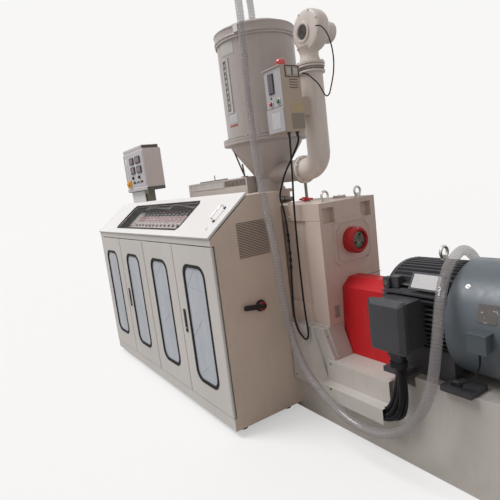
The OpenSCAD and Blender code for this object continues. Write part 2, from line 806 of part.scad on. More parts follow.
// Sloping desk lid over the whole cabinet, with a hinge knuckle under its upper edge
module desk_lid() color(cream) {
    knuckle_length = knuckle_x1 - knuckle_x0;
    difference() {
        on_slope() union() {
            translate([cab_x0, 0, -lid_thickness]) cube([cabinet_length, lid_length, lid_thickness]);
            translate([knuckle_x0, lid_axis_s - knuckle_radius, lid_axis_h])
                cube([knuckle_length, knuckle_radius, -lid_axis_h - lid_thickness]);
            translate([knuckle_x0, lid_axis_s, lid_axis_h]) rotate([0, 90, 0])
                cylinder(h = knuckle_length, r = knuckle_radius);
        }
        for (x = [knuckle_x0 - 1, knuckle_x1 - pin_depth])
            on_slope() translate([x, lid_axis_s, lid_axis_h]) rotate([0, 90, 0])
                cylinder(h = pin_depth + 1, r = pin_radius + pin_clearance);
        on_slope() translate([0, 0, -lid_thickness - 1]) linear_extrude(lid_thickness + 2) desk_opening_2d();
    }
}

// Pane in the desk lid
module desk_window() color(glass_tint) {
    on_slope() translate([0, 0, -8]) linear_extrude(5) desk_opening_2d();
}

// U handle on the desk lid
module desk_handle() color(steel) {
    handle_x = -80;
    span = 103;
    rise = 34;
    bar = 5;
    on_slope() translate([handle_x, slope_length * 0.345, 0]) {
        for (s = [0, 1]) translate([0, s * span, 0]) cylinder(h = rise, r = bar);
        translate([0, -bar, rise]) rotate([-90, 0, 0]) cylinder(h = span + 2 * bar, r = bar);
    }
}

// Instrument panel set below the desk window
module instrument_panel() color(dark_grey) {
    depth = 70;
    thickness = 4;
    rail_gap = 8;
    rail_y = frame_y + 30;
    low = (rail_y + rail_gap - lip_y - (depth + thickness) * sin(slope_angle)) / cos(slope_angle);
    on_slope() translate([cab_x0 + sheet, low, -depth - thickness])
        cube([cabinet_length - 2 * sheet, slope_length - 60 - low, thickness]);
}

// Round plate behind the disconnect handle
module disconnect_plate() color(black) {
    translate([0, disconnect_y, disconnect_z]) x_cylinder(0, 8, 34);
}

// Turning handle of the main disconnect
module disconnect_handle() color(black) {
    grip_width = 22;
    translate([8 + joint_gap, 0, 0]) {
        translate([0, disconnect_y, disconnect_z]) x_cylinder(0, 26, 26);
        translate([0, disconnect_y - disconnect_grip, disconnect_z - grip_width / 2])
            cube([18, disconnect_grip, grip_width]);
    }
}

// Operator panel on the die end of the cabinet
module operator_panel() color(cream) {
    x = [cab_x0 + 57, cab_x0 + 547];
    y = [cab_y1 - 184, cab_y1 - 22];
    z = [cabinet_height + 139, cabinet_height + 463];
    box(x, y, z);
    box([x[0] + 60, x[1] - 60], [y[0] + 30, y[1] - 20], [cabinet_height, z[0]]);
}

// Route points of the free hose and the hanging cable, chosen by hand
hose_radius = 24;
hose_start_rise = 154;
hose_points = [
    [-384, 0, 2440], [-384, 0, 2510], [-324, -61, 2650], [-245, -142, 2700],
    [-166, -224, 2650], [-107, -285, 2510], [-105, -286, 2250],
    [-100, -302, 1880], [-58, -328, 1660], [16, -370, 1450], [96, -406, 1210],
    [156, -424, 1030], [192, -430, 750], [232, -430, 550], [303, -430, 417],
    [395, -425, 320], [529, -420, 245], [665, -415, 214], [802, -410, 235],
    [910, -400, 302], [984, -385, 404], [1026, -370, 523], [1042, -345, 686],
    [1034, -290, 856], [1000, -190, 944], [978, -90, 986], [954, 20, 996],
    [926, 140, 944], [908, 240, 840], [902, 306, 690], [900, 340, 480],
    [896, 352, 330], [866, 376, 196], [796, 412, 92], [694, 448, 42],
    [570, 472, 32], [470, 472, 32]
];

cable_radius = 6;
cable_points = [
    [152, -238, 1648], [152, -238, 1590], [150, -245, 1420], [138, -247, 1256],
    [135, -250, 1060], [139, -254, 900], [150, -262, 745], [172, -276, 634],
    [192, -287, 566], [191, -289, 519], [174, -290, 496], [146, -290, 503],
    [104, -288, 538], [72, -278, 598], [55, -266, 672], [51, -257, 760],
    [58, -250, 940], [57, -248, 1085], [46, -246, 1200], [24, -243, 1270],
    [16, -240, 1321], [52, -222, 1425], [112, -204, 1514], [166, -192, 1596],
    [166, -192, 1648]
];

motor_cable_radius = 11;
motor_cable_routes = [
    [
        [776, -318, 575], [776, -318, 480], [775, -318, 360],
        [752, -318, 288], [715, -318, 262], [665, -318, 258]
    ],
    [
        [806, -290, 575], [806, -290, 480], [804, -290, 365],
        [778, -290, 292], [730, -290, 262], [665, -290, 258]
    ],
    [
        [836, -304, 575], [836, -304, 480], [836, -304, 350],
        [806, -304, 262], [752, -304, 232], [665, -304, 230]
    ]
];

function unit(v) = v / norm(v);

// Frames carried along the route, so that the tube does not twist
function carried(tangents, i, side) =
    i >= len(tangents) ? [] :
    let (s = unit(side - (side * tangents[i]) * tangents[i]))
    concat([s], carried(tangents, i + 1, s));

module tube(points, radius, sides) {
    last = len(points) - 1;
    tangents = [for (i = [0 : last]) unit(points[min(i + 1, last)] - points[max(i - 1, 0)])];
    start = abs(tangents[0][2]) < 0.9 ? [0, 0, 1] : [1, 0, 0];
    side = carried(tangents, 0, start);
    rings = [
        for (i = [0 : last], k = [0 : sides - 1])
            points[i] + radius * (cos(360 * k / sides) * side[i]
                + sin(360 * k / sides) * cross(tangents[i], side[i]))
    ];
    faces = concat(
        [[for (k = [0 : sides - 1]) k]],
        [for (i = [0 : last - 1], k = [0 : sides - 1])
            let (a = i * sides + k, b = i * sides + (k + 1) % sides)
            [a, a + sides, b + sides, b]],
        [[for (k = [sides - 1 : -1 : 0]) last * sides + k]]
    );
    polyhedron(points = rings, faces = faces, convexity = 8);
}

// Clear hose that brings granulate to the hopper
module feed_hose() color([0.78, 0.80, 0.80]) {
    tube(hose_points, hose_radius, 10);
}

// Rubber cuff and suction nozzle on the hose's free end
module hose_nozzle() color(black) {
    end = hose_points[len(hose_points) - 1];
    cuff = hose_radius + 6;
    bore = hose_radius - 5;
    translate(end) rotate([0, -90, 0]) rotate_extrude()
        polygon([
            [0, 0], [cuff, 0], [cuff, 70], [hose_radius, 78], [hose_radius, 190],
            [bore, 190], [bore, 86], [0, 86]
        ]);
}

// Cable of the dryer, hanging in a loop beside the gearbox
module dryer_cable() color(black) {
    tube(cable_points, cable_radius, 8);
}

// Motor cables from the terminal box into the duct
module motor_cables() color(black) {
    for (route = motor_cable_routes)
        tube(route, motor_cable_radius, 8);
}

base_frame();
gearbox_pedestal();
side_cover();
cable_duct();
gearbox_housing();
bearing_cover();
lifting_eyes();
coupling_guard();
motor_frame();
motor_end_shield();
fan_cowl();
fan_terminal_box();
terminal_box();
motor_cables();
feed_throat();
barrel();
barrel_hood();
hopper_body();
hopper_cone();
hopper_lid();
sight_glass();
heater_pipe();
air_blower();
dryer_control_box();
warning_beacon();
feed_hose();
hose_nozzle();
dryer_cable();
cabinet_shell();
cabinet_face_frame();
cabinet_end_drive();
cabinet_end_die();
cabinet_feet();
hinge_pins();
door_panel_1();
door_panel_2();
door_panel_3();
door_panel_4();
door_seal_1();
door_seal_2();
door_seal_3();
door_seal_4();
door_window_1();
door_window_2();
door_window_3();
door_window_4();
door_handle_2();
door_handle_4();
desk_lid();
desk_window();
desk_handle();
instrument_panel();
disconnect_plate();
disconnect_handle();
operator_panel();
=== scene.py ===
# Plastic extruder: the looks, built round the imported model, with +Z up and +X to the motor.
# Sizes on a plane are in millimetres and angles in degrees. Cords and the camera are in metres.
import json
import math

import bmesh
import bpy
from mathutils import Matrix, Vector

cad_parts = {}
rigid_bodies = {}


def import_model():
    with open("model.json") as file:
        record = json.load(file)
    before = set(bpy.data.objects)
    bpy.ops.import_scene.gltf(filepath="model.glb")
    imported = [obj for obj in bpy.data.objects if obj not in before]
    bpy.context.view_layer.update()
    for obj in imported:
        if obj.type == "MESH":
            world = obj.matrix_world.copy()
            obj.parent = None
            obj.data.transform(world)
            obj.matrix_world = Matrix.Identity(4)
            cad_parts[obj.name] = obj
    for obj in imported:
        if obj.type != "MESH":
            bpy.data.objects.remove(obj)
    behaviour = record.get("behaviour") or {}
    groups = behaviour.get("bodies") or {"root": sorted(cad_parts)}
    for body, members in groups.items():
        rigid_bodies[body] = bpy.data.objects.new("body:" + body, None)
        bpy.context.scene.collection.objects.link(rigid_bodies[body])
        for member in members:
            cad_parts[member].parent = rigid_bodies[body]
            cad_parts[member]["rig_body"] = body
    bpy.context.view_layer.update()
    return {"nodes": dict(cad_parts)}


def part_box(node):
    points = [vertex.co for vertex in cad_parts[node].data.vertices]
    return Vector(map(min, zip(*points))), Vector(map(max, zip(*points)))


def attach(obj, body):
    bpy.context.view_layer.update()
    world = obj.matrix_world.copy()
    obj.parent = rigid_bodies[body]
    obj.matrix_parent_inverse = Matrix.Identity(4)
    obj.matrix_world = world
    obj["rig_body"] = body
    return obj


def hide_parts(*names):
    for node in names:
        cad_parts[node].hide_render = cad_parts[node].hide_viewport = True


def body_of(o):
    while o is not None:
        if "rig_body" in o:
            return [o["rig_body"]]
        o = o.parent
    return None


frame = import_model()
NODES = frame["nodes"]
ROOT = "machine"
DOORS = (1, 2, 3, 4)
MM = 0.001


def new_object(name, data):
    made = bpy.data.objects.new(name, data)
    bpy.context.collection.objects.link(made)
    return made


# Camera, at the photograph's viewing angle
CAMERA_PLACE = (2.0736, -1.8216, 1.396)
CAMERA_YAW = math.radians(57.14)
CAMERA_PITCH = math.radians(-8.27)
CAMERA_ROLL = math.radians(-7.08)
CAMERA_LENS = 32.13
SENSOR = 36.0


def make_camera():
    forward = Vector((
        -math.sin(CAMERA_YAW) * math.cos(CAMERA_PITCH),
        math.cos(CAMERA_YAW) * math.cos(CAMERA_PITCH),
        math.sin(CAMERA_PITCH),
    ))
    level = forward.cross(Vector((0, 0, 1))).normalized()
    up = level.cross(forward)
    turned_right = level * math.cos(CAMERA_ROLL) + up * math.sin(CAMERA_ROLL)
    turned_up = up * math.cos(CAMERA_ROLL) - level * math.sin(CAMERA_ROLL)
    data = bpy.data.cameras.new("camera")
    data.lens = CAMERA_LENS
    data.sensor_width = SENSOR
    data.clip_start = 0.05
    camera = new_object("camera", data)
    turn = Matrix((turned_right, turned_up, -forward)).transposed()
    camera.matrix_world = Matrix.Translation(CAMERA_PLACE) @ turn.to_4x4()
    bpy.context.scene.camera = camera


# Planes to build on

class Plane:
    """A flat face to build on, in millimetres: u to the right, v up and n outwards."""

    def __init__(self, origin, u, v):
        self.origin = Vector(origin)
        self.u = Vector(u).normalized()
        self.v = Vector(v).normalized()
        self.n = self.u.cross(self.v).normalized()

    def at(self, u, v, n=0.0):
        return (self.origin + self.u * u + self.v * v + self.n * n) * MM

    def lifted(self, n):
        return Plane(self.origin + self.n * n, self.u, self.v)


def front(y):
    return Plane((0, y, 0), (1, 0, 0), (0, 0, 1))


def back(y):
    return Plane((0, y, 0), (-1, 0, 0), (0, 0, 1))


def right(x):
    return Plane((x, 0, 0), (0, 1, 0), (0, 0, 1))


def left(x):
    return Plane((x, 0, 0), (0, -1, 0), (0, 0, 1))


def top(z):
    return Plane((0, 0, z), (1, 0, 0), (0, 1, 0))


def way_out(angle):
    """Direction out of a round upright wall; an angle of 0 faces -Y and +90 faces +X."""
    return Vector((math.sin(math.radians(angle)), -math.cos(math.radians(angle)), 0))


def round_wall(middle, radius, angle):
    """Upright face on a round wall, with n towards its axis."""
    side = way_out(angle)
    return Plane(Vector((*middle, 0)) + side * radius, Vector((0, 0, -1)).cross(side), (0, 0, 1))


# Outlines and profiles

def about(middle, half):
    """The two ends of a length that lies evenly about its middle."""
    return middle - half, middle + half


def circle(radius, sides):
    """The corners of a regular polygon."""
    angles = [2 * math.pi * k / sides for k in range(sides)]
    return [(radius * math.cos(a), radius * math.sin(a)) for a in angles]


def rounded_outline(width, height, radius, steps=6):
    """The points round a rectangle with round corners, about its middle."""
    points = []
    for corner, (sx, sy) in enumerate(((1, 1), (-1, 1), (-1, -1), (1, -1))):
        for k in range(steps + 1):
            a = math.pi / 2 * (corner + k / steps)
            points.append((
                sx * (width / 2 - radius) + radius * math.cos(a),
                sy * (height / 2 - radius) + radius * math.sin(a),
            ))
    return points


def chamfered(width, height, cut):
    """The points round a rectangle with its corners cut off."""
    x = width / 2
    y = height / 2
    return [(x, -y + cut), (x, y - cut), (x - cut, y), (-x + cut, y),
            (-x, y - cut), (-x, -y + cut), (-x + cut, -y), (x - cut, -y)]


def disc(radius, low, high):
    """Profile of a flat round plate."""
    return [(0, low), (radius, low), (radius, high), (0, high)]


def cap(radius, low, rim, top_radius, high):
    """Profile of a round plate whose edge slopes in from its rim to its top."""
    return [(0, low), (radius, low), (radius, rim), (top_radius, high), (0, high)]


def band(inner, outer, low, high):
    """Profile of a flat ring."""
    return [(inner, low), (outer, low), (outer, high), (inner, high), (inner, low)]


# Mesh helpers

def ring(bm, plane, outline, n, u=0.0, v=0.0):
    """A loop of corners at one height over a plane."""
    return [bm.verts.new(plane.at(u + x, v + y, n)) for x, y in outline]


def bridge(bm, low, high):
    """Faces between two rings, either of which may be a single point."""
    count = max(len(low), len(high))
    for k in range(count):
        j = (k + 1) % count
        corners = (low[k % len(low)], low[j % len(low)], high[j % len(high)], high[k % len(high)])
        face = list(dict.fromkeys(corners))
        if len(face) > 2:
            bm.faces.new(face)


def loft(bm, rings):
    """A closed form through a row of rings."""
    for low, high in zip(rings, rings[1:]):
        bridge(bm, low, high)
    bm.faces.new(rings[0][::-1])
    bm.faces.new(rings[-1])


def add_prism(bm, plane, outline, n, u=0.0, v=0.0):
    """An outline of (u, v) points, raised between two values of n."""
    loft(bm, [ring(bm, plane, outline, level, u, v) for level in n])


def add_box(bm, plane, u, v, n):
    """A block between two values of u, v and n."""
    add_prism(bm, plane, [(u[0], v[0]), (u[1], v[0]), (u[1], v[1]), (u[0], v[1])], n)


def add_frame(bm, plane, outer, inner, n, u=0.0, v=0.0):
    """A flat ring between two outlines with the same number of points."""
    levels = ((outer, n[0]), (outer, n[1]), (inner, n[1]), (inner, n[0]))
    rings = [ring(bm, plane, outline, level, u, v) for outline, level in levels]
    for low, high in zip(rings, rings[1:] + rings[:1]):
        bridge(bm, low, high)


def add_lathe(bm, plane, profile, sides, u=0.0, v=0.0, n=0.0):
    """Turns (radius, height) pairs about the plane's normal. A radius of 0 closes the end."""
    rings = []
    for radius, height in profile:
        corners = circle(radius, sides) if radius else [(0, 0)]
        rings.append(ring(bm, plane, corners, n + height, u, v))
    for low, high in zip(rings, rings[1:]):
        bridge(bm, low, high)


def add_steps(bm, plane, u, v, outline, steps):
    """Form over a rectangle, in (inset, level) steps; outline gives the points for a width and height."""
    width = u[1] - u[0]
    height = v[1] - v[0]
    middle = (sum(u) / 2, sum(v) / 2)
    loft(bm, [ring(bm, plane, outline(width - 2 * inset, height - 2 * inset), level, *middle)
              for inset, level in steps])


def add_panel(bm, plane, u, v, n, edge):
    """Raised plate with a sloping edge all round."""
    corner = min(u[1] - u[0], v[1] - v[0]) * 0.06
    steps = ((0, n[0]), (0, n[1] - edge), (edge, n[1]))
    add_steps(bm, plane, u, v, lambda width, height: rounded_outline(width, height, corner, 3), steps)


def add_lid(bm, plane, u, v, n, slope, cut):
    """Box lid with an upright rim, wide sloping edges and a flat face."""
    high = n[1]
    steps = ((0, n[0]), (0, high - slope * 0.9), (1.2, high - slope * 0.8), (slope, high - 0.8),
             (slope + 1.5, high))
    add_steps(bm, plane, u, v, lambda width, height: chamfered(width, height, cut), steps)


def add_curved_plate(bm, middle, radii, angles, z, steps):
    """Plate bent round an upright axis, between two angles."""
    inner, outer = radii
    section = ((inner, z[0]), (outer, z[0]), (outer, z[1]), (inner, z[1]))
    rings = []
    for k in range(steps + 1):
        side = way_out(angles[0] + (angles[1] - angles[0]) * k / steps)
        rings.append([bm.verts.new((Vector((*middle, height)) + side * radius) * MM)
                      for radius, height in section])
    loft(bm, rings)


def add_bolt(bm, plane, u, v, n, across):
    """Hexagon head on a washer."""
    radius = across * 0.577
    washer = 1.6
    height = across * 0.62
    add_lathe(bm, plane, disc(radius * 1.4, 0, washer), 20, u, v, n)
    add_lathe(bm, plane, cap(radius, washer - 0.1, height, radius * 0.84, height + 1.2), 6, u, v, n)


def add_bolt_circle(bm, plane, middle, radius, count, n, across, first=None):
    """Bolts in a circle, the first at an angle that is half a step unless it is given."""
    step = 360 / count
    for k in range(count):
        a = math.radians((step / 2 if first is None else first) + step * k)
        add_bolt(bm, plane, middle[0] + radius * math.cos(a), middle[1] + radius * math.sin(a), n, across)


def add_screw(bm, plane, u, v, n, radius):
    """Domed head with a socket."""
    height = radius * 0.7
    profile = [(0, 0), (radius, 0), (radius, height * 0.4), (radius * 0.8, height),
               (radius * 0.44, height), (radius * 0.36, height * 0.4), (0, height * 0.4)]
    add_lathe(bm, plane, profile, 16, u, v, n)


def add_at_each(add, bm, plane, us, vs, *rest):
    """Repeats a bolt or a screw at each crossing of some values of u and of v."""
    for u in us:
        for v in vs:
            add(bm, plane, u, v, *rest)


def add_knob(bm, plane, u, v, n, radius, height, shoulder=0.82):
    """Turned button or lamp with a rounded cap."""
    profile = [(0, 0), (radius, 0), (radius, height * 0.55), (radius * shoulder, height * 0.8),
               (radius * shoulder * 0.6, height), (0, height * 1.04)]
    add_lathe(bm, plane, profile, 24, u, v, n)


# Tubes

def metres(points):
    return [Vector(p) * MM for p in points]


def smooth_route(points, steps):
    """A smooth line through the points, as short straight steps."""
    last = len(points) - 1
    out = []
    for i in range(last):
        a, b, c, d = points[max(i - 1, 0)], points[i], points[i + 1], points[min(i + 2, last)]
        for k in range(steps):
            t = k / steps
            out.append(0.5 * (2 * b + (c - a) * t + (2 * a - 5 * b + 4 * c - d) * t * t
                              + (3 * b - a - 3 * c + d) * t * t * t))
    out.append(points[-1])
    return out


def filleted(points, radius, steps):
    """A line through points in metres, with its corners rounded by a radius in millimetres."""
    out = [points[0]]
    for a, b, c in zip(points, points[1:], points[2:]):
        back_way = (a - b).normalized()
        on_way = (c - b).normalized()
        half = back_way.angle(on_way) / 2
        cut = radius * MM / math.tan(half)
        middle = b + (back_way + on_way).normalized() * (radius * MM / math.sin(half))
        start = (b + back_way * cut - middle).normalized()
        end = (b + on_way * cut - middle).normalized()
        out.extend(middle + start.slerp(end, k / steps) * radius * MM for k in range(steps + 1))
    out.append(points[-1])
    return out


def route_frames(points):
    """The two directions across a tube at each point, carried along so that it does not twist."""
    last = len(points) - 1
    side = None
    frames = []
    for i in range(last + 1):
        along = (points[min(i + 1, last)] - points[max(i - 1, 0)]).normalized()
        if side is None:
            side = along.orthogonal().normalized()
        side = (side - side.dot(along) * along).normalized()
        frames.append((side, along.cross(side)))
    return frames


def add_tube(bm, points, radius, sides):
    """A round tube with closed ends through points in metres."""
    section = circle(radius, sides)
    loft(bm, [[bm.verts.new(point + x * side + y * other) for x, y in section]
              for point, (side, other) in zip(points, route_frames(points))])


def add_rod(bm, points, radius, sides=10):
    """A tube whose points and radius are in millimetres."""
    add_tube(bm, metres(points), radius * MM, sides)


# Materials

class Tree:
    """A node tree. What is fed to a socket is a plain value or a (node, output) pair."""

    def __init__(self, owner):
        owner.use_nodes = True
        self.nodes = owner.node_tree.nodes
        self.links = owner.node_tree.links
        self.nodes.clear()

    def feed(self, socket, value):
        if isinstance(value, tuple) and isinstance(value[0], bpy.types.Node):
            node, output = value
            self.links.new(node.outputs[output], socket)
        else:
            socket.default_value = (*value, 1.0) if socket.type == "RGBA" else value

    def add(self, kind, inputs=None, **settings):
        """A new node; inputs gives what goes into its sockets."""
        node = self.nodes.new(f"ShaderNode{kind}")
        for key, value in settings.items():
            setattr(node, key, value)
        for key, value in (inputs or {}).items():
            self.feed(node.inputs[key], value)
        return node


class Shader(Tree):
    """A material with one principled surface. Names of its inputs have _ for a space."""

    def __init__(self, name, **surface):
        self.material = bpy.data.materials.new(name)
        super().__init__(self.material)
        self.principled = self.add("BsdfPrincipled")
        self.output = self.add("OutputMaterial", {"Surface": (self.principled, "BSDF")})
        self.coords = self.add("TexCoord")
        self.set(**surface)

    def set(self, **surface):
        for key, value in surface.items():
            self.feed(self.principled.inputs[key.replace("_", " ")], value)

    def noise(self, scale, detail, roughness=0.55, stretch=None):
        place = (self.coords, "Object")
        if stretch:
            place = (self.add("Mapping", {"Scale": stretch, "Vector": place}), "Vector")
        inputs = {"Scale": scale, "Detail": detail, "Roughness": roughness, "Vector": place}
        return self.add("TexNoise", inputs), "Fac"

    def ramp(self, source, *stops):
        """Colours or greys along a source, as (place, colour) pairs."""
        node = self.add("ValToRGB", {"Fac": source})
        elements = node.color_ramp.elements
        while len(elements) < len(stops):
            elements.new(0.5)
        for element, (place, color) in zip(elements, stops):
            element.position = place
            element.color = (*(color if isinstance(color, tuple) else (color,) * 3), 1.0)
        return node, "Color"

    def mix(self, factor, a, b):
        """Mixes two colours."""
        return self.add("Mix", {0: factor, 6: a, 7: b}, data_type="RGBA"), 2

    def times(self, a, b):
        return self.add("Math", {0: a, 1: b}, operation="MULTIPLY"), 0

    def bump(self, source, strength, distance):
        """Adds a bump on top of those that are there."""
        inputs = {"Strength": strength, "Distance": distance, "Height": source}
        before = self.principled.inputs["Normal"].links
        if before:
            inputs["Normal"] = (before[0].from_node, "Normal")
        self.set(Normal=(self.add("Bump", inputs), "Normal"))


def darker(color, factor):
    return tuple(c * factor for c in color)


# Height in metres to which dirt from the floor reaches
DIRT_HEIGHT = 0.38


def paint(name, color, rough, tone, peel, peel_scale, dust, low_dirt, dirt_color=(0.20, 0.17, 0.14),
          chips=0.0, chip_color=(0.35, 0.33, 0.31), gleam=0.5):
    """Painted metal: cloudy tone, orange peel, dust blooms, dirt that rises from the floor and chips."""
    look = Shader(name, Specular_IOR_Level=gleam)
    cloud = look.noise(2.4, 4.0)
    tones = look.ramp(cloud, (0.3, darker(color, 1 - tone)), (0.7, darker(color, 1 + tone * 0.6)))
    streaks = look.noise(5.0, 5.0, 0.7, (6.0, 6.0, 0.8))
    current = look.mix(look.ramp(streaks, (0.52, 0), (0.78, dust)), tones, dirt_color)
    height = (look.add("SeparateXYZ", {"Vector": (look.coords, "Object")}), "Z")
    reach = {"Value": height, "From Min": 0.0, "From Max": DIRT_HEIGHT, "To Min": low_dirt, "To Max": 0.0}
    patches = look.ramp(look.noise(9.0, 6.0, 0.65), (0.40, 0), (0.66, 1))
    low = look.times((look.add("MapRange", reach), "Result"), patches)
    current = look.mix(low, current, dirt_color)
    if chips:
        edge = 0.70 - chips * 0.05
        specks = look.ramp(look.noise(38.0, 3.0, 0.5), (edge, 0), (edge + 0.02, 1))
        current = look.mix(specks, current, chip_color)
    look.set(Base_Color=current, Roughness=look.ramp(streaks, (0.35, rough - 0.05), (0.75, rough + 0.14)))
    look.bump(look.noise(peel_scale, 2.0), peel, 0.0006)
    look.bump(look.noise(1.7, 2.0), 0.10, 0.004)
    return look.material


def bare_metal(name, color, rough, amount=0.25):
    """Bare or plated metal with brush lines and an amount of tarnish."""
    look = Shader(name, Metallic=1.0)
    lines = look.noise(90.0, 3.0, 0.6, (1.0, 1.0, 60.0))
    tones = look.ramp(lines, (0.3, darker(color, 0.82)), (0.7, darker(color, 1.08)))
    patches = look.noise(22.0, 5.0, 0.6)
    tarnish = look.ramp(patches, (0.5, 0), (0.72, amount))
    look.set(Base_Color=look.mix(tarnish, tones, (0.30, 0.24, 0.17)),
             Roughness=look.ramp(patches, (0.35, rough), (0.75, rough + 0.2)))
    look.bump(lines, 0.08, 0.0004)
    return look.material


def plastic(name, color, rough, grain=300.0, strength=0.12, tone=0.08, coat=0.0, gleam=0.5):
    """Moulded plastic or rubber with a fine grain."""
    look = Shader(name, Coat_Weight=coat, Specular_IOR_Level=gleam)
    cloud = look.noise(14.0, 4.0)
    look.set(Base_Color=look.ramp(cloud, (0.3, darker(color, 1 - tone)), (0.72, darker(color, 1 + tone))),
             Roughness=look.ramp(cloud, (0.3, rough - 0.06), (0.7, rough + 0.1)))
    look.bump(look.noise(grain, 2.0), strength, 0.0004)
    return look.material


def glass_pane(name, tint, reflection_streak):
    """A pane with a pale film on it that mirrors softly. Its pale blue is partly the film's own colour and
    partly painted reflection, and the streaks of darker and lighter tone over it are painted reflection
    streaks.
    """
    look = Shader(name, Coat_Weight=0.3, Coat_Roughness=0.05)
    # Painted reflection streaks: a stretched noise that moves the tint darker and lighter.
    streaky_noise = look.noise(3.2, 5.0, 0.6, (1.6, 1.0, 0.5))
    tones = look.ramp(streaky_noise, (0.30, reflection_streak), (0.52, tint), (0.74, darker(tint, 1.12)))
    scratches = look.ramp(look.noise(26.0, 3.0, 0.5, (0.25, 1.0, 2.6)), (0.66, 0), (0.70, 0.22))
    look.set(Base_Color=look.mix(scratches, tones, darker(reflection_streak, 0.8)),
             Roughness=look.ramp(streaky_noise, (0.3, 0.08), (0.8, 0.20)))
    look.bump(look.noise(2.2, 2.0), 0.22, 0.004)
    return look.material


def see_through(name, tint, rough, alpha, coat=1.0):
    """Thin clear sheet that lets most of what is behind it show."""
    look = Shader(name, Alpha=alpha, Coat_Weight=coat, Coat_Roughness=0.04)
    streaky_noise = look.noise(4.0, 4.0, 0.6, (1.0, 2.0, 1.0))
    look.set(Base_Color=look.ramp(streaky_noise, (0.35, darker(tint, 0.8)), (0.7, tint)),
             Roughness=look.ramp(streaky_noise, (0.4, rough), (0.7, rough + 0.15)))
    look.bump(streaky_noise, 0.05, 0.001)
    return look.material


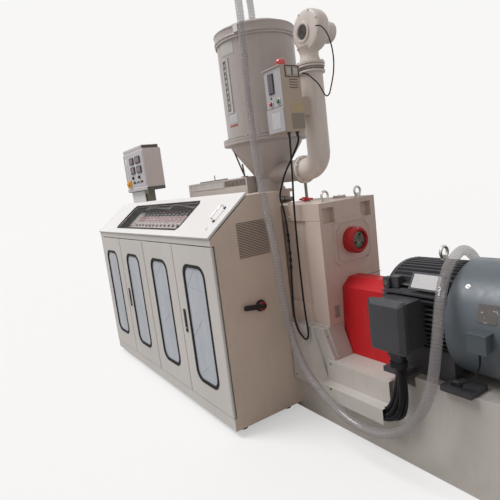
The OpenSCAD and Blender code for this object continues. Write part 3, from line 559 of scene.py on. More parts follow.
# Paints, with their colour, roughness, tone, peel, scale of the peel, dust and low dirt
MATERIALS = {
    # The cabinet, its doors and its desk lid share one cream paint. The cabinet's copy is darker and warmer,
    # with painted shade for its shaded shell and ends; the desk's copy is lighter, with painted light for the
    # lid that faces up.
    "cabinet": paint("cabinet_paint_darker_for_shade", (0.69, 0.578, 0.492), 0.4, 0.06, 0.1, 380, 0.1, 0.1),
    "door": paint("door_paint", (0.64, 0.622, 0.595), 0.36, 0.04, 0.1, 380, 0.08, 0.04),
    "desk": paint("desk_paint_lighter_for_light", (0.83, 0.82, 0.81), 0.38, 0.04, 0.1, 380, 0.06, 0),
    "base": paint("base_paint", (0.535, 0.51, 0.475), 0.44, 0.06, 0.14, 300, 0.16, 0.12),
    "hood": paint("hood_paint", (0.62, 0.58, 0.545), 0.42, 0.05, 0.12, 340, 0.14, 0),
    "casting": paint("casting_paint", (0.64, 0.525, 0.465), 0.46, 0.08, 0.5, 120, 0.16, 0),
    "dryer": paint("dryer_paint", (0.5, 0.455, 0.44), 0.4, 0.06, 0.12, 300, 0.16, 0),
    "pipe": paint("pipe_paint", (0.74, 0.68, 0.635), 0.4, 0.08, 0.25, 200, 0.24, 0),
    "box_front": paint("control_front", (0.45, 0.44, 0.46), 0.35, 0.04, 0.06, 380, 0.06, 0),
    # The dryer's control box: a darker, browner copy of the pipe's paint, with painted shade.
    "dryer_box_paint_darker_for_shade": paint("control_side", (0.5, 0.41, 0.335), 0.42, 0.06, 0.12, 300, 0.16, 0),
    "op_case": paint("operator_case_paint", (0.74, 0.68, 0.68), 0.42, 0.05, 0.1, 340, 0.12, 0),
    "op_front": paint("operator_front", (0.54, 0.53, 0.57), 0.38, 0.05, 0.08, 380, 0.1, 0),
    "red": paint("guard_red", (0.56, 0.016, 0.022), 0.38, 0.1, 0.14, 300, 0.1, 0.1,
                 (0.3, 0.16, 0.13), gleam=0.25),
    "bearing_red": paint("bearing_red", (0.4, 0.014, 0.018), 0.42, 0.1, 0.35, 160, 0.14, 0,
                         chips=0.3, gleam=0.3),
    "motor": paint("motor_grey", (0.06, 0.06, 0.067), 0.36, 0.14, 0.3, 160, 0.14, 0,
                   (0.14, 0.13, 0.12), gleam=0.26),
    "cowl": paint("cowl_grey", (0.105, 0.128, 0.148), 0.36, 0.1, 0.12, 300, 0.1, 0,
                  (0.16, 0.15, 0.14)),
    "cowl_dark": paint("fan_box_grey", (0.072, 0.092, 0.105), 0.36, 0.1, 0.12, 300, 0.1, 0,
                       (0.16, 0.15, 0.14)),
    "scratched": paint("scratched_plate", (0.12, 0.108, 0.104), 0.5, 0.3, 0.3, 200, 0.7, 0,
                       (0.24, 0.18, 0.16), chips=1.3, chip_color=(0.33, 0.31, 0.3)),
    "steel": bare_metal("zinc_steel", (0.6, 0.59, 0.56), 0.34),
    "dark_steel": bare_metal("oiled_steel", (0.22, 0.2, 0.18), 0.42, 0.5),
    "chrome": bare_metal("chrome", (0.8, 0.8, 0.81), 0.12, 0.06),
    "disc": bare_metal("bearing_disc", (0.13, 0.135, 0.11), 0.42, 0.5),
    "black": plastic("black_plastic", (0.015, 0.015, 0.017), 0.42),
    "rubber": plastic("black_rubber", (0.018, 0.018, 0.019), 0.62, 220, 0.25, gleam=0.2),
    "cable": plastic("cable_sheath", (0.012, 0.012, 0.014), 0.26, 260, 0.12, gleam=0.18),
    "white": plastic("white_label", (0.74, 0.75, 0.76), 0.35, 300, 0.05, 0.05),
    "pale": plastic("pale_plastic", (0.55, 0.54, 0.52), 0.4),
    "panel": plastic("panel_face", (0.55, 0.475, 0.465), 0.48, 300, 0.12, 0.12),
    "lamp_red": plastic("lamp_red", (0.62, 0.012, 0.02), 0.16, 300, 0.05, 0.15, 1),
    "lamp_green": plastic("lamp_green", (0.02, 0.32, 0.1), 0.16, 300, 0.05, 0.15, 1),
    "knob_red": plastic("knob_red", (0.42, 0.05, 0.06), 0.35),
    "knob_white": plastic("knob_white", (0.66, 0.63, 0.62), 0.35),
    "yellow": plastic("yellow_plastic", (0.72, 0.36, 0.03), 0.4),
    "display": plastic("dark_display", (0.03, 0.022, 0.032), 0.12, 300, 0.03, 0.1, 1),
    "screen": plastic("screen_face", (0.1, 0.07, 0.085), 0.3, 300, 0.03, 0.2, 0.3),
    "violet": plastic("screen_violet", (0.055, 0.035, 0.065), 0.25, 300, 0.03, 0.2, 0.6),
    "meter": plastic("meter_face", (0.4, 0.1, 0.11), 0.25, coat=0.6),
    "digit": plastic("display_digits", (0.42, 0.03, 0.03), 0.4),
    "handle_red": plastic("handle_red", (0.3, 0.012, 0.018), 0.38),
    "red_plastic": plastic("valve_red", (0.46, 0.015, 0.025), 0.38),
    # Dark seams, screws and strips, and dark plates of painted shade that fill openings.
    "dark_parts_and_painted_opening_shade": plastic("dark_parts_and_painted_opening_shade", (0.05, 0.045, 0.04), 0.7),
    "shade": plastic("vent_shade", (0.13, 0.105, 0.09), 0.6),
    "grid_green": plastic("dark_green_mount_and_painted_recess_shade", (0.115, 0.125, 0.105), 0.5),
    "stand_green": plastic("stand_side", (0.3, 0.31, 0.27), 0.5),
    "clear_wire": plastic("pale_wires", (0.45, 0.46, 0.47), 0.25, coat=0.5),
    "sand": plastic("blank_plate_sand", (0.5, 0.4, 0.24), 0.4),
    "umber": plastic("blank_plate_umber", (0.27, 0.235, 0.19), 0.4),
    "label": plastic("blank_label", (0.56, 0.56, 0.58), 0.5, 120, 0.05, 0.1),
    "fold": plastic("film_fold", (0.27, 0.3, 0.34), 0.3),
    "strip": plastic("sight_strip", (0.19, 0.17, 0.16), 0.4),
    # Door panes: the pale blue is partly the film's colour and partly painted reflection; the second colour
    # is that of the painted reflection streaks.
    "pane": glass_pane("door_pane", (0.5, 0.545, 0.61), (0.42, 0.47, 0.51)),
    "clear": see_through("desk_pane", (0.16, 0.17, 0.18), 0.04, 0.07, 0.3),
    "hose": see_through("hose_wall", (0.36, 0.335, 0.345), 0.08, 0.4),
    "wire": see_through("hose_rib", (0.5, 0.47, 0.48), 0.2, 0.34),
}

# The record's material slots, and the materials here listed under each
SLOT_MATERIALS = {
    "cream_paint": ("cabinet", "door", "desk", "base", "hood", "box_front", "op_case"),
    "casting_paint": ("casting",),
    "hopper_paint": ("dryer", "pipe"),
    "red_paint": ("red", "bearing_red", "lamp_red"),
    "motor_paint": ("motor",),
    "cowl_paint": ("cowl", "cowl_dark"),
    "bare_steel": ("steel", "dark_steel", "disc"),
    "handle_chrome": ("chrome",),
    "black_plastic": ("black",),
    "black_rubber": ("rubber",),
    "cable_black": ("cable",),
    "clear_hose": ("hose", "wire"),
    "panel_dark": ("display", "dark_parts_and_painted_opening_shade"),
}
SLOTS = {key: slot for slot, keys in SLOT_MATERIALS.items() for key in keys}

NODE_PAINT = {
    "base": ["base_frame", "gearbox_pedestal", "side_cover", "cable_duct"],
    "casting": ["gearbox_housing", "feed_throat"],
    "bearing_red": ["bearing_cover"],
    "steel": ["lifting_eyes", "barrel", "hinge_pins"],
    "red": ["coupling_guard"],
    "motor": ["motor_frame", "motor_end_shield", "terminal_box"],
    "cowl": ["fan_cowl", "fan_terminal_box"],
    "cable": ["motor_cables", "dryer_cable"],
    "hood": ["barrel_hood", "operator_panel"],
    "dryer": ["hopper_body", "hopper_cone", "hopper_lid"],
    "clear": ["sight_glass", "desk_window"],
    "pipe": ["heater_pipe", "air_blower"],
    "dryer_box_paint_darker_for_shade": ["dryer_control_box"],
    "lamp_red": ["warning_beacon"],
    "hose": ["feed_hose"],
    "cabinet": ["cabinet_shell", "cabinet_end_drive", "cabinet_end_die"],
    "rubber": ["cabinet_feet", "hose_nozzle", *(f"door_seal_{number}" for number in DOORS)],
    "door": ["cabinet_face_frame", *(f"door_panel_{number}" for number in DOORS)],
    "pane": [f"door_window_{number}" for number in DOORS],
    "black": ["door_handle_2", "door_handle_4", "disconnect_plate", "disconnect_handle"],
    "desk": ["desk_lid"],
    "chrome": ["desk_handle"],
    "panel": ["instrument_panel"],
}
PAINT_OF = {name: key for key, names in NODE_PAINT.items() for name in names}


def paint_nodes():
    for name, key in PAINT_OF.items():
        for slot in NODES[name].material_slots:
            slot.material = MATERIALS[key]


# Pieces

def make_object(name, bm, material):
    mesh = bpy.data.meshes.new(name)
    bm.to_mesh(mesh)
    bm.free()
    mesh.materials.append(material)
    return new_object(name, mesh)


def shade(mesh, angle):
    """Smooth shading up to an angle."""
    for face in mesh.polygons:
        face.use_smooth = True
    bm = bmesh.new()
    bm.from_mesh(mesh)
    for edge in bm.edges:
        edge.smooth = len(edge.link_faces) == 2 and edge.calc_face_angle(0.0) < math.radians(angle)
    bm.to_mesh(mesh)
    bm.free()


def finish_piece(name, bm, key, body=ROOT, smooth=40.0, bevel=0.0, slot=None, stands_for=None):
    """Turns a bmesh into a piece of one material that rides on a body, and may stand for a node."""
    bmesh.ops.recalc_face_normals(bm, faces=bm.faces)
    piece = make_object(name, bm, MATERIALS[key])
    shade(piece.data, smooth)
    if bevel:
        edges = piece.modifiers.new("edges", "BEVEL")
        edges.width = bevel
        edges.segments = 2
        edges.limit_method = "ANGLE"
        edges.angle_limit = math.radians(40)
        edges.harden_normals = False
    even = piece.modifiers.new("normals", "WEIGHTED_NORMAL")
    even.keep_sharp = True
    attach(piece, body)
    slot = slot or SLOTS.get(key)
    if stands_for:
        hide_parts(stands_for)
    return piece


class Group:
    """Gathers shapes by material, and makes one piece of each."""

    def __init__(self, name, body=ROOT):
        self.name = name
        self.body = body
        self.shapes = {}

    def __getitem__(self, key):
        if key not in self.shapes:
            self.shapes[key] = bmesh.new()
        return self.shapes[key]

    def boxes(self, plane, *rows):
        """Blocks, as rows of material, u, v and n."""
        for key, u, v, n in rows:
            add_box(self[key], plane, u, v, n)

    def panels(self, plane, *rows):
        """Raised plates, as rows of material, u, v, n and edge."""
        for key, u, v, n, edge in rows:
            add_panel(self[key], plane, u, v, n, edge)

    def finish(self, smooth=40.0):
        for key, bm in self.shapes.items():
            finish_piece(f"{self.name}_{key}", bm, key, self.body, smooth)


# Rounded edges of the CAD nodes

SEAL_FRONT = -729 * MM
BASE_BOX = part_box("base_frame")
BASE_STEP = 4 * MM


def hold_back_seals(point):
    """Seals stand 3 mm proud, so that doors 2 and 3 stand open side by side without touching."""
    point.y = max(point.y, SEAL_FRONT)


def flush_base(point):
    """The walls of the base are flush with the edges of its deck plate."""
    for axis in (0, 1):
        for corner in BASE_BOX:
            if abs(point[axis] - corner[axis]) < BASE_STEP:
                point[axis] = corner[axis]


RESHAPED = {"base_frame": flush_base, **{f"door_seal_{number}": hold_back_seals for number in DOORS}}

# Width of the rounded edges of each node, in millimetres
EDGES = {
    "gearbox_housing": 5, "gearbox_pedestal": 4, "base_frame": 3, "side_cover": 2, "cable_duct": 2,
    "feed_throat": 3, "coupling_guard": 2.5, "motor_end_shield": 2, "fan_cowl": 2, "barrel_hood": 5,
    "hopper_body": 1.5, "hopper_cone": 1.5, "hopper_lid": 2, "heater_pipe": 1.5, "motor_frame": 1,
    "dryer_control_box": 3, "cabinet_shell": 2, "cabinet_face_frame": 1.5, "cabinet_end_drive": 0.8,
    "cabinet_end_die": 0.8, "desk_lid": 2, "disconnect_plate": 1.5, "cabinet_feet": 2,
    **{f"door_panel_{number}": 2.5 for number in DOORS},
    **{f"door_seal_{number}": 1.6 for number in DOORS},
}


def round_node(name, width):
    """Copy of a CAD node with rounded edges, which stands for it."""
    node = NODES[name]
    bm = bmesh.new()
    bm.from_mesh(node.data)
    if name in RESHAPED:
        for vert in bm.verts:
            RESHAPED[name](vert.co)
    bmesh.ops.remove_doubles(bm, verts=bm.verts, dist=1e-5)
    bmesh.ops.dissolve_limit(bm, angle_limit=math.radians(0.4), verts=bm.verts, edges=bm.edges)
    sharp = [e for e in bm.edges if e.is_manifold and e.calc_face_angle(0.0) > math.radians(30)]
    bmesh.ops.bevel(bm, geom=sharp, offset=width * MM, offset_type="OFFSET", segments=2,
                    profile=0.5, affect="EDGES", clamp_overlap=True)
    finish_piece(f"{name}_skin", bm, PAINT_OF[name], body_of(node)[0], stands_for=name)


# Cabinet

def sloping_plane(name):
    """The upper face of a sloping node, with its origin at the low edge."""
    mesh = NODES[name].data
    normal = max((f for f in mesh.polygons if f.normal.z > 0.5), key=lambda f: f.area).normal
    up = Vector((0, normal.z, -normal.y))
    height = max(corner.co.dot(normal) for corner in mesh.vertices)
    low = min(c.co.dot(up) for c in mesh.vertices if c.co.dot(normal) > height - 0.0005)
    return Plane((up * low + normal * height) / MM, (1, 0, 0), up)


DESK = sloping_plane("desk_lid")
DESK_DEPTH = -70
DESK_WINDOW = (-1062.5, 176)


def desk_details():
    """Rim of the window, handle and lock of the desk's lid."""
    group = Group("desk", "desk_lid")
    add_frame(group["rubber"], DESK, chamfered(1213, 258, 26), chamfered(1189, 234, 21), (-3, 2.4),
              *DESK_WINDOW)
    handle_u = -80
    low, high = (122.9, 225.9)
    rise = 29
    for v in (low, high):
        add_lathe(group["black"], DESK, cap(9, 0, 5, 7, 7), 24, handle_u, v)
    corners = [DESK.at(handle_u, v, n) for v, n in ((low, 0), (low, rise), (high, rise), (high, 0))]
    bar = bmesh.new()
    add_tube(bar, filleted(corners, 12, 6), 5 * MM, 16)
    finish_piece("desk_handle_bar", bar, "chrome", "desk_lid", stands_for="desk_handle")
    lock = (-86, 64)
    add_lathe(group["chrome"], DESK, cap(10, 0, 2.6, 8.6, 4), 28, *lock)
    add_box(group["black"], DESK, about(lock[0], 1.2), about(lock[1], 5), (3.6, 4.4))
    group.finish()


def add_controller(group, plane, u):
    """A controller with a display and keys, the meter under it and its knob."""
    group.panels(plane, ("black", about(u, 24), (244, 291), (0, 9), 2),
                 ("pale", about(u, 25), (181, 237), (0, 6), 2))
    group.boxes(plane, ("display", about(u, 18), (264, 284), (8.6, 9.4)),
                ("digit", about(u, 12), (275, 280), (9.2, 9.6)),
                ("meter", about(u, 21), (186, 232), (5.6, 6.6)),
                ("white", about(u, 21), (206, 209), (6.4, 7.0)))
    for shift in (-14, -4.7, 4.7, 14):
        add_box(group["pale"], plane, about(u + shift, 3), (250, 256), (8.6, 9.8))
    add_knob(group["black"], plane, u, 146, 0, 11, 4, 0.95)
    add_knob(group["knob_white"], plane, u, 146, 3, 8, 13)


def instruments():
    """Rows of controllers, meters and knobs under the desk's window, and wires above them."""
    group = Group("instrument")
    floor = DESK.lifted(DESK_DEPTH)
    first = -1497
    pitch = 72.5
    for i in range(12):
        add_controller(group, floor, first + pitch * i)
    add_panel(group["pale"], floor, (-1660, -1585), (141, 290), (0, 6), 2)
    # A dark green plate left of the window paints the shade of the recess's side wall there.
    add_box(group["grid_green"], floor, (-1900, -1672), (60, 330), (0, 1.5))
    for k in range(4):
        course = ((-1600 + 40 * k, 318 - 6 * k, 8), (-1380 - 30 * k, 312 + 3 * k, 30),
                  (-1150 + 25 * k, 322 - 6 * k, 14), (-900 - 20 * k, 316 + 3 * k, 34), (-640, 320 - 6 * k, 8))
        points = [floor.at(*place) for place in course]
        add_tube(group["clear_wire" if k % 2 else "white"], smooth_route(points, 8), 2.6 * MM, 8)
    group.finish()


def door_hardware(number):
    """Narrow swing handle: a tray, a lever and a key."""
    node = f"door_handle_{number}"
    body = f"door_{number}"
    low, high = (Vector(c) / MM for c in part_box(node))
    x = (low.x + high.x) / 2
    z = (low.z + high.z) / 2
    key_z = z - 48
    face = front(high.y)
    tray = bmesh.new()
    add_frame(tray, face, rounded_outline(26, 150, 8), rounded_outline(20, 144, 5), (0, 5), x, z)
    add_prism(tray, face, rounded_outline(21, 145, 5), (0, 1.5), x, z)
    add_panel(tray, face, about(x, 8), (z - 34, z + 66), (1.2, 6.6), 2.5)
    add_box(tray, face, about(x, 0.8), about(key_z, 4), (5.2, 6.2))
    finish_piece(f"{body}_tray", tray, "black", body, stands_for=node)
    group = Group(f"{body}_handle", body)
    add_lathe(group["chrome"], face, cap(7, 0, 3.6, 6, 4.4), 20, x, key_z, 1.2)
    group.finish()


# Folds in the film on the panes of two doors, as shares of the pane's width and of its height from the top
FILM_FOLDS = {
    3: [((0.60, 0.03), (0.28, 0.14)), ((0.06, 0.30), (0.90, 0.35)), ((0.78, 0.50), (0.30, 0.62))],
    4: [((0.50, 0.02), (0.06, 0.17)), ((0.06, 0.17), (0.95, 0.19)), ((0.62, 0.44), (0.05, 0.62)),
        ((0.58, 0.86), (0.18, 0.95))],
}


def film_folds(number):
    low, high = (Vector(c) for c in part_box(f"door_window_{number}"))
    size = high - low
    group = Group(f"door_{number}_film", f"door_{number}")
    for ends in FILM_FOLDS[number]:
        points = [Vector((low.x + x * size.x, low.y, high.z - z * size.z)) for x, z in ends]
        add_tube(group["fold"], points, 0.9 * MM, 6)
    group.finish()


# The switch's grip rests a little above the level, turned about its hub
GRIP_TILT = math.radians(-7)
SWITCH = (-458, 710)


def tilted(outline, shift=0):
    """An outline moved along u and then turned about the switch's hub."""
    cosine = math.cos(GRIP_TILT)
    sine = math.sin(GRIP_TILT)
    return [((x + shift) * cosine - y * sine, (x + shift) * sine + y * cosine) for x, y in outline]


def cabinet_end():
    """Louvre field, main switch and screws on the cabinet's drive end."""
    group = Group("cabinet_end")
    face = right(0)
    vent_y = (-554, -345)
    vent_z = (996, 1196)
    add_box(group["shade"], face, vent_y, vent_z, (-6, 0.5))
    blades = 22
    for k in range(blades):
        z = vent_z[0] + (vent_z[1] - vent_z[0]) * k / blades
        blade = [(0.4, z + 0.5), (2.6, z + 1.0), (2.6, z + 2.6), (0.4, z + 4.4)]
        add_prism(group["cabinet"], front(0), blade, (-vent_y[1], -vent_y[0]))
    for shift in (-27, 27):
        add_screw(group["steel"], face, SWITCH[0] + shift, SWITCH[1] + shift, 8, 3)
    group.finish()
    grip = bmesh.new()
    add_lathe(grip, face, cap(30, 8, 16, 27, 20), 40, *SWITCH)
    add_prism(grip, face, tilted(rounded_outline(150, 30, 13, 5), -51), (20, 30), *SWITCH)
    add_prism(grip, face, tilted(rounded_outline(142, 24, 11, 5), -51), (30, 34), *SWITCH)
    add_prism(grip, face, tilted(rounded_outline(46, 13, 6, 4)), (30, 33.8), *SWITCH)
    finish_piece("switch_grip", grip, "black", "disconnect_handle", bevel=1.2 * MM,
                 stands_for="disconnect_handle")
    turn = Group("switch", "disconnect_handle")
    hub = [(0, 19.8), (25.5, 19.8), (25.5, 27), (22, 31), (0, 32)]
    add_lathe(turn["handle_red"], face, hub, 40, *SWITCH)
    turn.finish()


def operator_front(group, face):
    """Displays, buttons and plates on the front of the operator's box."""
    group.panels(face, ("op_front", (-2022, -1556), (1500, 1792), (0, 4), 2),
                 ("op_front", (-2024, -1564), (1806, 1832), (-4, 1), 2),
                 ("yellow", (-1998, -1908), (1500, 1560), (4, 14), 3),
                 ("white", (-1992, -1950), (1700, 1756), (4, 6), 1))
    group.boxes(face, ("dark_parts_and_painted_opening_shade", (-2038, -2032), (1539, 1790), (0, 1.2)),
                ("op_front", (-2040, -1550), (1462, 1480), (-8, 5)))
    for u, v in (((-1871, -1779), (1693, 1751)), ((-1733, -1621), (1693, 1753)),
                 ((-1869, -1774), (1610, 1672)), ((-1721, -1613), (1610, 1670))):
        add_panel(group["black"], face, u, v, (4, 12), 2)
        add_box(group["screen"], face, (u[0] + 16, u[1] - 16), (v[0] + 12, v[1] - 9), (11.4, 12.4))
        for low in (v[0] + 18, v[0] + 34):
            add_box(group["digit"], face, (u[0] + 30, u[1] - 30), (low, low + 3), (12.2, 12.7))
    for u, v in ((-1839, 1578), (-1689, 1577)):
        add_knob(group["black"], face, u, v, 4, 14, 16)
        add_box(group["white"], face, about(u, 1.5), (v, v + 12), (19, 20.4))
    button_z = 1537
    for key, u in (("knob_white", -1852), ("black", -1812), ("knob_white", -1768), ("lamp_green", -1724),
                   ("knob_white", -1678), ("black", -1632)):
        add_lathe(group["dark_steel"], face, disc(12, 4, 7), 24, u, button_z)
        add_knob(group[key], face, u, button_z, 7, 9, 8)
    add_knob(group["yellow"], face, -1951, 1530, 14, 22, 18)


def operator_box():
    """Case and stand of the operator's box on the cabinet's die end."""
    face = front(-420)
    case = bmesh.new()
    add_box(case, face, (-2040, -1550), (1480, 1804), (-162, 0))
    add_box(case, face, (-2026, -1562), (1802, 1834), (-150, -4))
    finish_piece("operator_case", case, "op_case", bevel=2.5 * MM, stands_for="operator_panel")
    group = Group("operator")
    operator_front(group, face)
    group.boxes(right(-1550), ("grid_green", (-420, -262), (1456, 1482), (-480, 6)),
                ("grid_green", (-420, -372), (1427, 1456), (-60, 6)))
    add_box(group["shade"], right(-1562), (-414, -272), (1806, 1830), (-4, 1.5))
    stand = front(-390)
    add_box(group["hood"], stand, (-2036, -1700), (1360, 1470), (-90, 0))
    add_panel(group["white"], stand, (-2030, -1712), (1363, 1458), (0, 3), 1)
    group.boxes(right(-1700), ("stand_green", (-388, -302), (1360, 1456), (-2, 4)),
                ("dark_parts_and_painted_opening_shade", (-390, -380), (1360, 1440), (-2, 6)))
    group.finish()


# Extruder and hopper dryer

SCREW_Z = 1025
HOPPER = (-384, 0)
HOPPER_WALL = 250
PIPE = (113, 0)


def hood_details():
    """Recessed plate, row of slots and a loose rod on the barrel hood."""
    group = Group("hood")
    face = front(-130)
    outer = rounded_outline(540, 58, 6, 3)
    inner = rounded_outline(524, 42, 4, 3)
    recess = (-1055, 1424)
    add_frame(group["hood"], face, outer, inner, (-2, 3.5), *recess)
    add_prism(group["pale"], face, inner, (-1, 0.8), *recess)
    first = -760
    pitch = 14.4
    for k in range(19):
        x = first + k * pitch
        add_prism(group["shade"], face, rounded_outline(6.5, 44, 3, 3), (-1, 0.7), x, 1421)
        add_box(group["hood"], face, (x - 4.6, x - 3.2), (1398, 1444), (0, 3))
    add_rod(group["dark_steel"], [(-1215, -96, 1458), (-770, -104, 1458)], 5)
    add_rod(group["dark_steel"], [(-960, -100, 1453), (-962, -100, 1498)], 4)
    add_at_each(add_screw, group["steel"], face, (-1340, -755), (1060, 1230), 0, 5)
    group.finish()


def hopper_plates(group):
    """Clamps, plates and the sight strip on the hopper's wall, as rows of rise, angles, z and steps."""
    rows = [("steel", (8, 20), about(a, 3), (2300, 2338), 3) for a in (-70, 30, 130, 230)]
    rows += [
        ("pale", (-1, 1.6), (-5.5, 20.6), (2197, 2267), 10),
        ("label", (-1, 1.6), (-4.2, 14.2), (1788, 1848), 8),
        ("knob_red", (-1, 1.2), (-5.5, 12.5), (1768, 1779), 8),
        ("pale", (-1, 5), (-6.4, -4.0), (1850, 2178), 4),
        ("pale", (-1, 5), (4.0, 8.4), (1850, 2178), 4),
        ("pale", (-1, 5), (-6.4, 8.4), (1850, 1862), 4),
        ("pale", (-1, 5), (-6.4, 8.4), (2166, 2178), 4),
        ("strip", (-1, 0.8), (-4.0, 4.0), (1862, 2166), 4),
    ]
    for k in range(9):
        z = 1880 + 32 * k
        end = 1.0 if k % 2 else -0.6
        rows.append(("label", (0, 1.2), (-3.4, end), (z, z + 14), 2))
    for key, rise, angles, z, steps in rows:
        radii = [HOPPER_WALL + r for r in rise]
        add_curved_plate(group[key], HOPPER, radii, angles, z, steps)
    for angle in (-5.2, 6.2):
        for z in (1856, 1935, 2014, 2093, 2172):
            add_screw(group["steel"], round_wall(HOPPER, HOPPER_WALL + 5, angle), 0, z, 0, 3)


def hopper_details():
    """Clamp ring, plates, struts and flange bolts of the hopper."""
    group = Group("hopper")
    axis = top(0)
    clamp = [(250, 2290), (262, 2291), (264, 2296), (260, 2302), (260, 2336), (264, 2341), (262, 2347),
             (250, 2348), (250, 2290)]
    add_lathe(group["dryer"], axis, clamp, 96, *HOPPER)
    hopper_plates(group)
    for z in (1675.5, 1692.5):
        add_lathe(group["dark_parts_and_painted_opening_shade"], axis, band(276, 282.4, z, z + 1.4), 96, *HOPPER)
    add_bolt_circle(group["steel"], top(1692), HOPPER, 268, 20, 0, 12)
    foot = (-541, -100, 1455)
    for head in ((-472, -206, 1624), (-456, -164, 1534)):
        add_rod(group["dark_steel"], [head, foot], 5.5)
    add_box(group["dark_steel"], top(1452), (-562, -520), (-116, -84), (0, 6))
    group.finish()


def beacon(group):
    """Lens of the warning beacon, with its ribs."""
    place = (113, -215)
    lens = bmesh.new()
    dome = [(0, 0), (34, 0), (34, 8), (31, 11), (31, 30), (28, 41), (20, 48), (0, 52)]
    add_lathe(lens, top(1990), dome, 36, *place)
    finish_piece("beacon_dome", lens, "lamp_red", stands_for="warning_beacon")
    rib = [(30, 0), (32, 0.8), (32, 1.6), (30, 2.4), (30, 0)]
    for k in range(5):
        add_lathe(group["lamp_red"], top(2001 + 4.5 * k), rib, 36, *place)


def control_side(group):
    """Switch, slits and blank plates on the side of the dryer's control box."""
    side = right(188)
    add_frame(group["black"], side, rounded_outline(96, 60, 3, 2), rounded_outline(86, 50, 2, 2),
              (0, 2), -205, 1958)
    add_box(group["black"], side, (-207.5, -202.5), (1936, 1980), (0, 2))
    group.panels(side, ("pale", (-241, -211), (1943, 1973), (0, 2.5), 1),
                 ("pale", (-199, -169), (1943, 1973), (0, 2.5), 1),
                 ("sand", (-237, -148), (1748, 1794), (0, 1.2), 0.5),
                 ("umber", (-237, -148), (1660, 1742), (0, 1.2), 0.5))
    # Slits: dark strips of painted shade between raised blades.
    for z in range(1872, 1942, 14):
        group.boxes(side, ("dark_parts_and_painted_opening_shade", (-228, -174), (z, z + 3), (-0.5, 0.5)),
                    ("dryer_box_paint_darker_for_shade", (-230, -172), (z + 3, z + 6), (-0.5, 3)))


def dryer_box_details():
    """Front with display and lamps, side, cable glands and beacon of the dryer's control box."""
    group = Group("dryer")
    face = front(-280)
    group.panels(face, ("box_front", (42, 186), (1785, 1984), (0, 3), 1.5),
                 ("box_front", (42, 186), (1652, 1780), (0, 9), 2),
                 ("label", (83, 157), (1672, 1756), (9, 10.2), 0.5),
                 ("black", (77, 124), (1857, 1962), (3, 9), 2))
    group.boxes(face, ("display", (82, 119), (1863, 1956), (8.4, 9.6)),
                *[("violet", (87, 114), (z, z + 23), (9.4, 9.9)) for z in (1868, 1898, 1928)],
                ("dryer", (38, 188), (1985, 1990), (0, 10)))
    for key, x, z in (("lamp_red", 86, 1809), ("lamp_green", 150, 1812)):
        add_lathe(group["knob_white"], face, cap(16, 3, 6, 13, 8), 32, x, z)
        add_lathe(group["black"], face, disc(12.5, 7.5, 10), 32, x, z)
        add_knob(group[key], face, x, z, 9, 9, 9)
    add_knob(group["black"], face, 88, 1838, 3, 5, 5)
    control_side(group)
    gland = [(0, 1), (10, 1), (10, -7), (8, -9), (7.4, -18), (6, -24), (0, -24)]
    for place in ((152, -238), (166, -192)):
        add_lathe(group["black"], top(1648), gland, 20, *place)
    beacon(group)
    group.finish()


def pipe_details():
    """Flanges, seals and bolts of the hot-air pipe."""
    group = Group("pipe")
    axis = top(0)
    for z in (1998, 1968):
        flange = [(64, z), (78, z), (80, z + 3), (80, z + 8), (78, z + 11), (64, z + 11), (64, z)]
        add_lathe(group["pipe"], axis, flange, 64, *PIPE)
    add_lathe(group["dark_steel"], axis, band(64, 76, 1986, 1991), 64, *PIPE)
    add_bolt_circle(group["steel"], top(2026), PIPE, 73, 8, 0, 9)
    low_end = right(-30)
    middle = (0, 1447)
    add_lathe(group["rubber"], low_end, band(70, 84, -1, 1), 64, *middle)
    add_bolt_circle(group["steel"], low_end, middle, 74, 8, 14, 9)
    group.finish()


def blower():
    """Fan housing on the hot-air pipe: neck, scroll, inlet ring and motor."""
    wheel = front(0)
    scroll = (143, 2190)
    inlet = (128, 2184)
    neck = [(0, 2027), (60, 2027), (57, 2044), (52, 2060), (52, 2074), (58, 2096), (66, 2110), (0, 2112)]
    housing = [(0, -44), (96, -44), (106, -38), (111, -24), (112, 0), (111, 24), (106, 38), (96, 44),
               (64, 47), (0, 47)]
    drive = [(0, -150), (48, -150), (56, -142), (58, -120), (58, -44), (0, -44)]
    body = bmesh.new()
    add_lathe(body, top(0), neck, 48, *PIPE)
    add_lathe(body, wheel, housing, 72, *scroll)
    add_lathe(body, wheel, drive, 48, *scroll)
    finish_piece("blower_housing", body, "pipe", stands_for="air_blower")
    group = Group("blower")
    rim = [(38, 44), (52, 44), (54, 50), (50, 55), (42, 55), (38, 50), (38, 44)]
    add_lathe(group["pipe"], wheel, rim, 48, *inlet)
    # A dark disc of painted shade fills the inlet behind its ring.
    add_lathe(group["dark_parts_and_painted_opening_shade"], wheel, disc(40, 46.5, 48), 48, *inlet)
    for radius in (12, 22, 32):
        add_lathe(group["dark_steel"], wheel, band(*about(radius, 1.5), 48, 51), 40, *inlet)
    add_bolt_circle(group["steel"], wheel, scroll, 100, 8, 42, 7)
    group.finish()


# Gearbox and guard

def cooled_bearing(group):
    """Disc of the cooled bearing at the screw's end, with the screws and the seam of its cover."""
    face = right(358)
    dished = [(0, 0), (46, 0), (46, 3), (40, 6), (20, 6), (16, 3), (0, 3)]
    add_lathe(group["disc"], face, dished, 56, 0, SCREW_Z)
    add_bolt_circle(group["dark_parts_and_painted_opening_shade"], face, (0, SCREW_Z), 31, 3, 6, 10, 80)
    add_bolt(group["bearing_red"], right(372), -60, SCREW_Z + 12, -3, 9)
    pad = right(318)
    add_at_each(add_screw, group["casting"], pad, (-112, 112), (913, 1137), 0, 5)
    seam = [(-120, 934), (-76, 908), (98, 908), (134, 944), (134, 1082), (96, 1128), (-78, 1128),
            (-120, 1086)]
    middle_z = 1018
    inner = [(y * 0.99, middle_z + (z - middle_z) * 0.99) for y, z in seam]
    add_frame(group["shade"], pad, seam, inner, (-0.5, 0.4))


